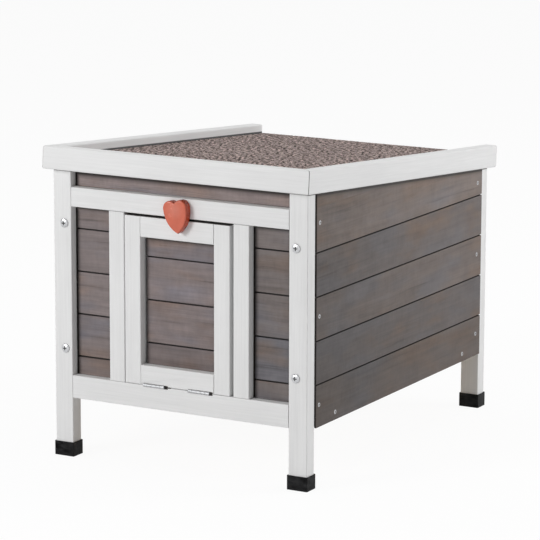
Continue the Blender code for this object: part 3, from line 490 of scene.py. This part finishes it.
# Grey of the screws' painted shade
SHADE_GREY = (34, 33, 32)
HEART_PALE, HEART_FULL = 0.003, 0.015  # distances from the button's screw


def bare_pine(tree, axis):
    """Unpainted softwood with darker late-wood lines."""
    stretched = along(tree, place(tree), axis, 0.04)
    warp = tree.noise(stretched, scale=26.0, detail=2.0, roughness=0.5)
    rings = tree.math("SINE", tree.math("MULTIPLY", warp, PINE_RINGS))
    fibre = tree.noise(stretched, scale=700.0, detail=3.0, roughness=0.7)
    tone = tree.ramp(tree.math("MULTIPLY_ADD", rings, 0.5, 0.5), [
        (0.0, srgb(207, 177, 135)), (0.7, srgb(220, 193, 152)), (1.0, srgb(190, 153, 108)),
    ])
    tree.surface({
        "Base Color": varied(tree, tone, ((fibre, 0.5),)),
        "Roughness": 0.62,
        "Specular IOR Level": 0.3,
        "Normal": tree.bump(fibre, strength=0.25, distance=0.0005),
    })


def plywood(tree, axis, tilt):
    """A rotary-cut face, and stacked layers on the cut edges. The lid's deck, which is tilted, has black
    painted shade along the felt's edge."""
    point = place(tree, tilt)
    swirl = tree.noise(along(tree, point, axis, 0.12), scale=22.0, detail=4.0, roughness=0.6)
    fibre = tree.noise(along(tree, point, axis, 0.03), scale=600.0, detail=3.0, roughness=0.7)
    tone = tree.ramp(swirl, [
        (0.3, srgb(196, 165, 122)), (0.5, srgb(214, 186, 145)), (0.7, srgb(204, 172, 130)),
    ])
    layer = tree.math("DIVIDE", tree.math("PINGPONG", tree.part(point, "Z"), PLY_LAYER), PLY_LAYER)
    layers = tree.mix(tree.between(layer, 0.42, 0.58), srgb(150, 114, 76), srgb(214, 187, 148))
    facing = tree.part(face_normal(tree, tilt), "Z")
    tone = tree.mix(tree.math("LESS_THAN", tree.math("ABSOLUTE", facing), 0.5), tone, layers)
    # Painted shade: black on the deck in the gap between the felt's edge and the rims
    if tilt:
        begins, black = (FELT_HALF - inside for inside in DECK_EDGE_SHADE)
        edge = tree.between(tree.size_along(point, "X"), begins, black)
        upper = tree.math("GREATER_THAN", facing, 0.5)
        tone = tree.mix(tree.math("MULTIPLY", edge, upper), tone, srgb(22, 20, 20))
    tree.surface({
        "Base Color": varied(tree, tone, ((fibre, 0.4),)),
        "Roughness": 0.66,
        "Specular IOR Level": 0.3,
        "Normal": tree.bump(fibre, strength=0.2, distance=0.0005),
    })


def roof_felt(tree, tilt):
    """Bitumen sheet covered with grey, brown and pinkish granules, with dark bitumen and painted shade
    between them.
    """
    point = place(tree, tilt)
    large, small = tree.cells(point, scale=430.0), tree.cells(point, scale=900.0)
    pick = tree.node("ShaderNodeSeparateColor", {0: large["Color"]}).outputs[0]
    other = tree.node("ShaderNodeSeparateColor", {0: small["Color"]}).outputs[1]
    clumps = tree.noise(along(tree, point, ALONG_Y, 0.5), scale=260.0, detail=2.0, roughness=0.7)
    tone = tree.ramp(tree.math("MULTIPLY_ADD", pick, 0.75, tree.math("MULTIPLY", other, 0.25)), [
        (0.05, srgb(84, 68, 64)), (0.25, srgb(126, 108, 103)), (0.45, srgb(160, 142, 136)),
        (0.65, srgb(184, 162, 155)), (0.82, srgb(214, 196, 190)), (0.98, srgb(240, 229, 224)),
    ])
    # Dark between the granule clumps: the bitumen's colour and painted shade
    tone = tree.mix(tree.between(clumps, 0.51, 0.44), tone, srgb(52, 38, 34))
    pale = tree.math("MULTIPLY", tree.between(clumps, 0.51, 0.57), 0.9)
    tone = tree.mix(pale, tone, srgb(246, 224, 218))
    broad = tree.noise(point, scale=15.0, detail=4.0, roughness=0.6)
    domes = tree.math("MULTIPLY_ADD", large["Distance"], GRANULE_FALL, 1.0)
    relief = tree.math("ADD", domes, clumps)
    tree.surface({
        "Base Color": varied(tree, tone, ((broad, 0.5),)),
        "Roughness": 0.92,
        "Specular IOR Level": 0.2,
        "Normal": tree.bump(relief, strength=0.6, distance=0.0008),
    })


def black_plastic(tree):
    """Moulded plastic with a fine grain, pale scuff marks and slightly paler edges."""
    point = place(tree)
    grain = tree.noise(point, scale=1500.0, detail=2.0, roughness=0.6)
    scuff = tree.noise(along(tree, point, ALONG_X, 0.4), scale=110.0, detail=5.0, roughness=0.6)
    tone = tree.mix(tree.between(scuff, 0.36, 0.70), srgb(10, 10, 11), srgb(52, 52, 53))
    tone = tree.mix(tree.math("MULTIPLY", edge_wear(tree, 0.0008), 0.35), tone, srgb(50, 50, 51))
    tree.surface({
        "Base Color": tone,
        "Roughness": tree.math("MULTIPLY_ADD", scuff, 0.50, 0.14),
        "Specular IOR Level": 0.05,
        "Normal": tree.bump(grain, strength=0.12, distance=0.0003),
    })


def zinc_steel(tree, screw_top):
    """Clouded zinc plating. A frame screw's is brighter, with painted shade and dark reflections on its
    head's flanks and painted shade in its recess: screw_top is the height that its head stands out, and
    0 for other fittings."""
    point = place(tree)
    cloud = tree.noise(point, scale=300.0, detail=3.0, roughness=0.6)
    scratch = tree.noise(along(tree, point, ALONG_X, 0.1), scale=1800.0, detail=2.0, roughness=0.6)
    tone = varied(tree, srgb(198, 199, 201) if screw_top else srgb(176, 177, 179), ((cloud, 0.8),))
    metallic = 1.0
    if screw_top:
        facing = tree.math("MULTIPLY", tree.part(face_normal(tree), "Y"), -1.0)
        flanks = tree.math("LESS_THAN", facing, SCREW_FLANK)
        deep = tree.math("GREATER_THAN", tree.part(point, "Y"), FRONT_FACE - SCREW_RECESS * screw_top)
        recess = tree.math("MULTIPLY", tree.math("GREATER_THAN", facing, SCREW_FLAT), deep)
        # Painted shade and dark reflections on the head's flanks, painted shade in its recess
        painted_dark = tree.math("MAXIMUM", flanks, recess)
        tone = tree.mix(painted_dark, tone, srgb(*SHADE_GREY))
        metallic = tree.math("MULTIPLY_ADD", painted_dark, -0.8, 1.0)
    tree.surface({
        "Base Color": tone,
        "Metallic": metallic,
        "Roughness": tree.math("MULTIPLY_ADD", cloud, 0.24, 0.18 if screw_top else 0.42),
        "Normal": tree.bump(scratch, strength=0.08, distance=0.0002),
    })


def recess_grime(tree):
    """The painted shade inside a small screw's cross recess."""
    recess_speckle = tree.noise(place(tree), scale=2500.0, detail=2.0, roughness=0.6)
    tree.surface({
        "Base Color": varied(tree, srgb(*SHADE_GREY), ((recess_speckle, 0.8),)),
        "Metallic": 0.3,
        "Roughness": tree.math("MULTIPLY_ADD", recess_speckle, 0.3, 0.5),
    })


def coral_paint(tree):
    """Satin coral paint brushed on a wooden button, paler in its middle and deeper on its flank."""
    point = place(tree)
    brush = tree.noise(along(tree, point, ALONG_Z, 0.3), scale=200.0, detail=4.0, roughness=0.6)
    mottle = tree.noise(point, scale=80.0, detail=3.0, roughness=0.5)
    offset = tree.vector("SUBTRACT", point, tuple(JOINTS["heart_turn"]["pos_m"]))
    flat = tree.vector("MULTIPLY", offset, (1.0, 0.0, 1.0))
    apart = tree.node("ShaderNodeVectorMath", {0: flat}, operation="LENGTH").outputs["Value"]
    outward = tree.between(apart, HEART_PALE, HEART_FULL)
    tone = tree.mix(outward, srgb(208, 120, 100), srgb(203, 103, 79))
    tone = varied(tree, tone, ((brush, 0.16), (mottle, 0.30)))
    facing = tree.math("MULTIPLY", tree.part(face_normal(tree), "Y"), -1.0)
    flank = tree.between(facing, 0.80, 0.15)
    tone = tree.mix(tree.math("MULTIPLY", flank, 0.90), tone, srgb(182, 64, 32))
    tree.surface({
        "Base Color": tone,
        "Roughness": tree.math("MULTIPLY_ADD", mottle, 0.14, 0.18),
        "Specular IOR Level": 0.40,
        "Normal": tree.bump(brush, strength=0.08, distance=0.0003),
    })


# Finishes of the CAD nodes

def dress(made, *names):
    """Gives the nodes this material."""
    for name in names:
        NODES[name].material_slots[0].material = made


def dress_white(axis, timber, *names):
    dress(material(f"white_paint_{timber}_{axis}", white_paint, axis, timber), *names)


def dress_frames():
    for end in ENDS:
        dress_white(ALONG_Z, end, *(f"{end}_post_{side}" for side in SIDES))
        dress_white(ALONG_X, end, f"{end}_bottom_rail", f"{end}_upper_rail")
    dress_white(ALONG_Z, "front", "front_jamb_left", "front_jamb_right")
    dress_white(ALONG_Z, "door", "door_stile_left", "door_stile_right")
    dress_white(ALONG_X, "door", "door_top_rail", "door_bottom_rail")
    dress_white(ALONG_X, "lid", "lid_front_rim", "lid_rear_rail")
    dress_white(ALONG_Y, "lid", "lid_left_rim", "lid_right_rim")


# The stain of each face, and the lightness and blueness of its boards, from the foot up
SIDE_STAIN = (109, 99, 94)
SIDE_BOARDS = ((0.57, 0.0), (0.645, 0.5), (0.765, 0.1), (0.735, 0.5), (0.965, 0.0))
LEFT_BAY_STAIN = (124, 114, 113)
LEFT_BAY_BOARDS = ((0.86, 0.0), (0.90, 0.0), (1.0, 0.0), (0.865, -0.8), (0.96, 0.1))
# Painted shade: the right bay's stain is a darker copy of the left bay's, as the front darkens to the
# right
RIGHT_BAY_SHADED_STAIN = (113, 105, 103)
RIGHT_BAY_BOARDS = ((0.96, 0.0), (0.95, 1.0), (0.92, 0.0), (0.90, 0.0), (1.0, 0.0))
DOOR_STAIN = (124, 113, 112)
DOOR_BOARDS = ((0.78, 0.0), (0.96, 0.0), (1.0, 0.0), (0.99, 0.6))
HEADER_STAIN = (144, 131, 129)
HEADER_BOARDS = ((1.0, 0.0), (1.0, 0.0))
HEADER_TOP = 0.4012  # height just under the lid, from which the header board's painted shade is measured


def dress_boards():
    post_left, post_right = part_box("front_post_left")[1].x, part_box("front_post_right")[0].x
    jamb_left, jamb_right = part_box("front_jamb_left")[0].x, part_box("front_jamb_right")[1].x
    stile_left, stile_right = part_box("door_stile_left")[1].x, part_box("door_stile_right")[0].x
    rail, door_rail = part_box("front_upper_rail")[0].z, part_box("door_top_rail")[0].z
    rear_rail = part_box("rear_upper_rail")[0].z
    left_bay, right_bay = (post_left, jamb_left, rail), (jamb_right, post_right, rail)
    door, header = (stile_left, stile_right, door_rail), (post_left, post_right, HEADER_TOP)
    rear = (post_left, post_right, rear_rail)
    door_foot = DOOR_SEAM - BOARD_PITCH
    for name, colour, boards, face, foot, opening, seed in (
        ("front_bay_boards_left", LEFT_BAY_STAIN, LEFT_BAY_BOARDS, "bay", BOARD_FOOT, left_bay, 3.0),
        ("front_bay_boards_right", RIGHT_BAY_SHADED_STAIN, RIGHT_BAY_BOARDS, "bay", BOARD_FOOT, right_bay, 9.0),
        ("front_header_board", HEADER_STAIN, HEADER_BOARDS, "bay", BOARD_FOOT, header, 19.0),
        ("door_boards", DOOR_STAIN, DOOR_BOARDS, "door", door_foot, door, 27.0),
        ("rear_boards", LEFT_BAY_STAIN, LEFT_BAY_BOARDS, "rear", BOARD_FOOT, rear, 35.0),
    ):
        made = material(f"stain_{name}", stain, ALONG_X, colour, boards, face, foot, opening, seed)
        dress(made, name)
    under_lid = (None, None, UNDER_RIM)
    sides = material(
        "stain_sides", stain, ALONG_Y, SIDE_STAIN, SIDE_BOARDS, "side", BOARD_FOOT, under_lid, 43.0
    )
    for side in SIDES:
        dress(sides, *(f"{side}_side_board_{i}" for i in range(1, 6)))


def dress_inside():
    upright = material("bare_pine_z", bare_pine, ALONG_Z)
    batten = material("bare_pine_y", bare_pine, ALONG_Y)
    for side in SIDES:
        dress(upright, f"{side}_upright_front", f"{side}_upright_rear")
        dress(batten, f"{side}_floor_batten")
    dress(material("plywood_floor", plywood, ALONG_Y, 0.0), "floor_panel")
    dress(material("plywood_deck", plywood, ALONG_Y, SLOPE), "lid_deck")


def dress_fittings():
    screw_top = FRONT_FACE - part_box("frame_screw_lower_left")[0].y
    for name in NODES:
        if name.startswith("frame_screw"):
            dress(material("zinc_frame_screws", zinc_steel, screw_top), name)
        elif name.endswith("_leaf") or name == "heart_pivot_screw":
            dress(material("zinc_steel", zinc_steel, 0.0), name)
        elif "foot_cap" in name:
            dress(material("black_plastic", black_plastic), name)
    dress(material("coral_paint", coral_paint), "heart_button")


dress_frames()
dress_boards()
dress_inside()
dress_fittings()


# Broken edges on the CAD nodes, by modifiers alone

BOARD_BEVEL, FRAME_BEVEL, BEVEL_SEGMENTS = 0.0007, 0.0005, 2
BEVEL_ANGLE, SMOOTH_ANGLE = math.radians(40), math.radians(38)
WELD = 0.000005


def joined_and_smooth():
    """A modifier's node group that welds a mesh and shades it smooth."""
    group = bpy.data.node_groups.new("joined_and_smooth", "GeometryNodeTree")
    group.interface.new_socket("Geometry", in_out="INPUT", socket_type="NodeSocketGeometry")
    group.interface.new_socket("Geometry", in_out="OUTPUT", socket_type="NodeSocketGeometry")
    start = group.nodes.new("NodeGroupInput")
    weld = group.nodes.new("GeometryNodeMergeByDistance")
    weld.inputs["Distance"].default_value = WELD
    smooth = group.nodes.new("GeometryNodeSetShadeSmooth")
    end = group.nodes.new("NodeGroupOutput")
    group.links.new(start.outputs[0], weld.inputs[0])
    group.links.new(weld.outputs[0], smooth.inputs[0])
    group.links.new(smooth.outputs[0], end.inputs[0])
    return group


def soften(node, group, width):
    """Breaks the sharp edges, if width isn't 0, and keeps the flat faces flat in their shading."""
    node.modifiers.new("joined", "NODES").node_group = group
    if width:
        bevel = node.modifiers.new("edges", "BEVEL")
        bevel.width = width
        bevel.segments = BEVEL_SEGMENTS
        bevel.limit_method = "ANGLE"
        bevel.angle_limit = BEVEL_ANGLE
    weighted = node.modifiers.new("flat_faces", "WEIGHTED_NORMAL")
    weighted.mode = "FACE_AREA"
    weighted.weight = 100


def soften_all():
    """All nodes but the metal ones. The button's round form needs no broken edges."""
    group = joined_and_smooth()
    for name, node in NODES.items():
        if name.endswith("_leaf") or "screw" in name:
            continue
        if name == "heart_button":
            soften(node, group, 0.0)
        elif "board" in name:
            soften(node, group, BOARD_BEVEL)
        else:
            soften(node, group, FRAME_BEVEL)


soften_all()


# Pieces that the CAD leaves to the looks

def new_object(name, bm, materials, body):
    bmesh.ops.recalc_face_normals(bm, faces=bm.faces)
    mesh = bpy.data.meshes.new(name)
    bm.to_mesh(mesh)
    bm.free()
    for made in materials:
        mesh.materials.append(made)
    mesh.shade_smooth()
    mesh.set_sharp_from_angle(angle=SMOOTH_ANGLE)
    made = bpy.data.objects.new(name, mesh)
    bpy.context.scene.collection.objects.link(made)
    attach(made, body)
    return made


# A small screw's head, in shares of its radius
HEAD_EDGE, CROSS_REACH, CROSS_HALF, CROSS_DEPTH = 0.10, 0.60, 0.17, 0.45
CROSS_TAPER = 0.7


def circle_points(count):
    """Points on the unit circle, from +X round to +Y."""
    turns = [2 * math.pi * k / count for k in range(count)]
    return [(math.cos(turn), math.sin(turn)) for turn in turns]


def cross_points():
    """The corners of a cross recess, from its +X arm round to +Y, three in each quarter."""
    points = [(CROSS_REACH, CROSS_HALF), (CROSS_HALF, CROSS_HALF), (CROSS_HALF, CROSS_REACH)]
    while len(points) < 12:
        x, y = points[-3]
        points.append((-y, x))
    return points


def screw_head(bm, centre, normal, radius, rise, sunk):
    """A countersunk head with a cross recess. Its top is rise above the centre, its foot sunk below it.
    The head's outline has two points for each corner of the cross."""
    where = Matrix.Translation(centre) @ normal.to_track_quat("Z", "Y").to_matrix().to_4x4()

    def ring(points, share, height):
        size = share * radius
        return [bm.verts.new(where @ Vector((size * x, size * y, height))) for x, y in points]

    cross = cross_points()
    circle = circle_points(2 * len(cross))
    foot = ring(circle, 1.0, -sunk)
    side = ring(circle, 1.0, rise - HEAD_EDGE * radius)
    top = ring(circle, 1.0 - HEAD_EDGE, rise)
    lip = ring(cross, 1.0, rise)
    pit = ring(cross, CROSS_TAPER, rise - CROSS_DEPTH * radius)
    for low, high in ((foot, side), (side, top)):
        for k in range(len(circle)):
            after = (k + 1) % len(circle)
            bm.faces.new((low[k], low[after], high[after], high[k]))
    for k in range(len(cross)):
        after = (k + 1) % len(cross)
        bm.faces.new((lip[k], lip[after], pit[after], pit[k])).material_index = 1
        rim = [top[(2 * k + step) % len(circle)] for step in range(3)]
        bm.faces.new((lip[k], *rim, lip[after]))
    bm.faces.new(pit).material_index = 1
    bm.faces.new(reversed(foot))


# Small screws in the side boards: distance behind the front face, and height
SIDE_SCREWS = (
    (0.0300, 0.3620), (0.0300, 0.2350), (0.0300, 0.1140), (0.0765, 0.0940),
    (0.5150, 0.3410), (0.5150, 0.2350), (0.5150, 0.1160), (0.4710, 0.0944),
)
SIDE_SCREW_RADIUS, SIDE_SCREW_RISE, SIDE_SCREW_SUNK = 0.0030, 0.0003, 0.0020
STEEL = (material("zinc_steel", zinc_steel, 0.0), material("recess_grime", recess_grime))


def add_side_screws():
    for side, sign in zip(SIDES, (-1, 1)):
        bm = bmesh.new()
        for back, height in SIDE_SCREWS:
            centre = Vector((sign * SIDE_FACE, FRONT_FACE + back, height))
            out = Vector((sign, 0, 0))
            screw_head(bm, centre, out, SIDE_SCREW_RADIUS, SIDE_SCREW_RISE, SIDE_SCREW_SUNK)
        new_object(f"{side}_board_screws", bm, STEEL, "house")


# Small screws in the hinges' leaves: a row of three, with the middle one further off the axis
LEAF_SCREW_RADIUS, LEAF_SCREW_SUNK = 0.0019, 0.0008
LEAF_SCREW_SPREAD, LEAF_SCREW_STAGGER = 0.0115, 0.0016
# How far a leaf's screws lie off its axis, how far its face lies from the axis, and how far they rise
DOOR_LEAF_REACH, DOOR_LEAF_FACE, DOOR_LEAF_RISE = 0.0088, 0.00015, 0.00008
LID_LEAF_REACH, LID_LEAF_FACE, LID_LEAF_RISE = 0.0062, 0.00125, 0.0003


def leaf_screws(hinge, half):
    """Where a leaf's screws sit: the way out of its face, the way off its axis, the face's offset
    from the axis, the screws' distance off the axis, and how far their heads rise."""
    if hinge == "door":
        up = 1 if half == "moving" else -1
        face = Vector((0, 0, DOOR_LEAF_FACE * up))
        return Vector((0, 0, -up)), Vector((0, 1, 0)), face, DOOR_LEAF_REACH, DOOR_LEAF_RISE
    tilt = Matrix.Rotation(0.0 if half == "fixed" else -SLOPE, 3, "X")
    off_axis = tilt @ Vector((0, 0, -1 if half == "fixed" else 1))
    face = tilt @ Vector((0, -LID_LEAF_FACE, 0))
    return tilt @ Vector((0, 1, 0)), off_axis, face, LID_LEAF_REACH, LID_LEAF_RISE


def add_hinge_screws():
    for hinge, joint in (("door", "door_flip"), ("lid", "roof_lid_hinge")):
        axis = Vector(JOINTS[joint]["pos_m"])
        for side in SIDES:
            for half, body in (("fixed", "house"), ("moving", JOINTS[joint]["child"])):
                low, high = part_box(f"{hinge}_hinge_{side}_{half}_leaf")
                normal, off_axis, face, reach, rise = leaf_screws(hinge, half)
                bm = bmesh.new()
                for step in (-1, 0, 1):
                    off = reach + (LEAF_SCREW_STAGGER if step == 0 else 0.0)
                    x = (low.x + high.x) / 2 + step * LEAF_SCREW_SPREAD
                    centre = Vector((x, axis.y, axis.z)) + face + off_axis * off
                    screw_head(bm, centre, normal, LEAF_SCREW_RADIUS, rise, LEAF_SCREW_SUNK)
                new_object(f"{hinge}_hinge_{side}_{half}_screws", bm, STEEL, body)


FELT_COLUMNS, FELT_ROWS = 90, 140
# How far the felt's hand-cut edges stray inwards at most
LEFT_STRAY, RIGHT_STRAY, FRONT_STRAY, REAR_STRAY = 0.0016, 0.0012, 0.0004, 0.0012
FELT_EDGE_ROUND, FELT_EDGE_DROP = 0.0012, 0.0006
FELT_WAVE, FELT_WAVES_PER_METRE, FELT_LOWERED = 0.00030, 14, 0.00035


def wander(seed, at, size):
    """How far a hand-cut edge strays, between 0 and size."""
    return size * (0.5 + 0.5 * noise.noise(Vector((seed, 9.0 * at, 0.0))))


def felt_point(low, high, u, v):
    """A point of the felt on the level lid, for shares u of its width and v of its length: x, y and
    the top's z."""
    left, right = low.x + wander(3.1, v, LEFT_STRAY), high.x - wander(7.7, v, RIGHT_STRAY)
    front, rear = low.y + wander(5.3, u, FRONT_STRAY), high.y - wander(1.9, u, REAR_STRAY)
    x, y = left + (right - left) * u, front + (rear - front) * v
    across, back = FELT_WAVES_PER_METRE * x, FELT_WAVES_PER_METRE * y
    wave = noise.fractal(Vector((across, back, 0.5)), 1.0, 2.0, 3)
    inside = min(x - left, right - x, y - front, rear - y)
    drop = FELT_EDGE_DROP * max(0.0, 1 - inside / FELT_EDGE_ROUND) ** 2
    return x, y, high.z - FELT_LOWERED + FELT_WAVE * wave - drop


def add_felt():
    """The felt as it lies: slightly uneven, with a hand-cut edge that wanders beside the rims."""
    corners = level_corners("lid_felt")
    low = Vector([min(corner[k] for corner in corners) for k in range(3)])
    high = Vector([max(corner[k] for corner in corners) for k in range(3)])
    to_part = LEVEL_LID.inverted()
    bm = bmesh.new()
    grid = {}
    for j in range(FELT_ROWS + 1):
        for i in range(FELT_COLUMNS + 1):
            x, y, top = felt_point(low, high, i / FELT_COLUMNS, j / FELT_ROWS)
            grid[0, j, i] = bm.verts.new(to_part @ Vector((x, y, low.z)))
            grid[1, j, i] = bm.verts.new(to_part @ Vector((x, y, top)))
    for j in range(FELT_ROWS):
        for i in range(FELT_COLUMNS):
            quad = ((j, i), (j, i + 1), (j + 1, i + 1), (j + 1, i))
            bm.faces.new([grid[1, *corner] for corner in quad])
            bm.faces.new([grid[0, *corner] for corner in reversed(quad)])
    border = [(j, 0) for j in range(FELT_ROWS)]
    border += [(FELT_ROWS, i) for i in range(FELT_COLUMNS)]
    border += [(j, FELT_COLUMNS) for j in range(FELT_ROWS, 0, -1)]
    border += [(0, i) for i in range(FELT_COLUMNS, 0, -1)]
    for here, after in zip(border, border[1:] + border[:1]):
        bm.faces.new((grid[0, *here], grid[0, *after], grid[1, *after], grid[1, *here]))
    finish = material("roof_felt", roof_felt, SLOPE)
    felt = new_object("roof_felt_sheet", bm, [finish], "roof_lid")
    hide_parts("lid_felt")


add_side_screws()
add_hinge_screws()
add_felt()


# Floor, light and camera

WHITE = (1.0, 1.0, 1.0, 1.0)
FLOOR_GREY = (0.92, 0.92, 0.92, 1.0)
FLOOR_HALF, FLOOR_GAP = 9.0, 0.0002
FLOOR_GLOW = 0.94  # the share of its own white in what the camera sees of the floor
WORLD_LIGHT = 0.31
AIM = Vector((0.0, 0.0, 0.25))
# Name, place, edge length and watts of each lamp
LAMPS = (
    ("key", (-1.55, -3.2, 1.5), 1.1, 62.0),
    ("side", (2.8, 1.7, 1.3), 1.4, 53.0),
    ("top", (-0.2, 0.4, 3.1), 2.4, 27.0),
)
# The photograph's viewpoint, fitted to the edges of the posts, boards and lid: metres and degrees
CAMERA_PLACE = (2.11504, -3.81515, 1.13077)
CAMERA_TURN = (78.37831, -0.15281, 29.16825)
CAMERA_LENS, CAMERA_SENSOR, CAMERA_REACH = 207.9, 36.0, 60.0


def camera_sees(tree):
    """1 for rays from the camera, also where they were mirrored or refracted on the way, else 0."""
    path = tree.node("ShaderNodeLightPath").outputs
    seen = tree.math("MAXIMUM", path["Is Camera Ray"], path["Is Glossy Ray"])
    return tree.math("MAXIMUM", seen, path["Is Transmission Ray"])


def add_floor():
    """A pale floor that looks nearly white and still takes the part's shadow."""
    bm = bmesh.new()
    bmesh.ops.create_grid(bm, x_segments=1, y_segments=1, size=FLOOR_HALF)
    mesh = bpy.data.meshes.new("floor")
    bm.to_mesh(mesh)
    bm.free()
    floor = bpy.data.objects.new("floor", mesh)
    floor.location.z = cad_low.z - FLOOR_GAP
    bpy.context.scene.collection.objects.link(floor)
    made = bpy.data.materials.new("floor")
    tree = Tree(made)
    matt = tree.node("ShaderNodeBsdfDiffuse", {"Color": FLOOR_GREY})
    glow = tree.node("ShaderNodeEmission", {"Color": WHITE, "Strength": 1.0})
    share = tree.math("MULTIPLY", camera_sees(tree), FLOOR_GLOW)
    both = tree.node("ShaderNodeMixShader", {0: share, 1: matt.outputs[0], 2: glow.outputs[0]})
    tree.node("ShaderNodeOutputMaterial", {"Surface": both.outputs[0]})
    mesh.materials.append(made)


def add_world():
    """A white surround that lights the part less than it shines to the camera."""
    world = bpy.data.worlds.new("studio")
    tree = Tree(world)
    light = tree.node("ShaderNodeBackground", {"Color": WHITE, "Strength": WORLD_LIGHT})
    seen = tree.node("ShaderNodeBackground", {"Color": WHITE, "Strength": 1.0})
    inputs = {0: camera_sees(tree), 1: light.outputs[0], 2: seen.outputs[0]}
    both = tree.node("ShaderNodeMixShader", inputs)
    tree.node("ShaderNodeOutputWorld", {"Surface": both.outputs[0]})
    bpy.context.scene.world = world


def add_lamp(name, where, size, watts):
    """A square soft light aimed at the middle of the part."""
    lamp = bpy.data.lights.new(name, "AREA")
    lamp.size = size
    lamp.energy = watts
    made = bpy.data.objects.new(name, lamp)
    made.location = where
    made.rotation_euler = (AIM - Vector(where)).to_track_quat("-Z", "Y").to_euler()
    bpy.context.scene.collection.objects.link(made)


def add_camera():
    data = bpy.data.cameras.new("camera")
    data.sensor_width = CAMERA_SENSOR
    data.lens = CAMERA_LENS
    data.clip_end = CAMERA_REACH
    camera = bpy.data.objects.new("camera", data)
    camera.location = CAMERA_PLACE
    camera.rotation_euler = [math.radians(angle) for angle in CAMERA_TURN]
    bpy.context.scene.collection.objects.link(camera)
    bpy.context.scene.camera = camera


add_floor()
add_world()
for lamp in LAMPS:
    add_lamp(*lamp)
add_camera()
bpy.context.scene.view_settings.view_transform = "Standard"
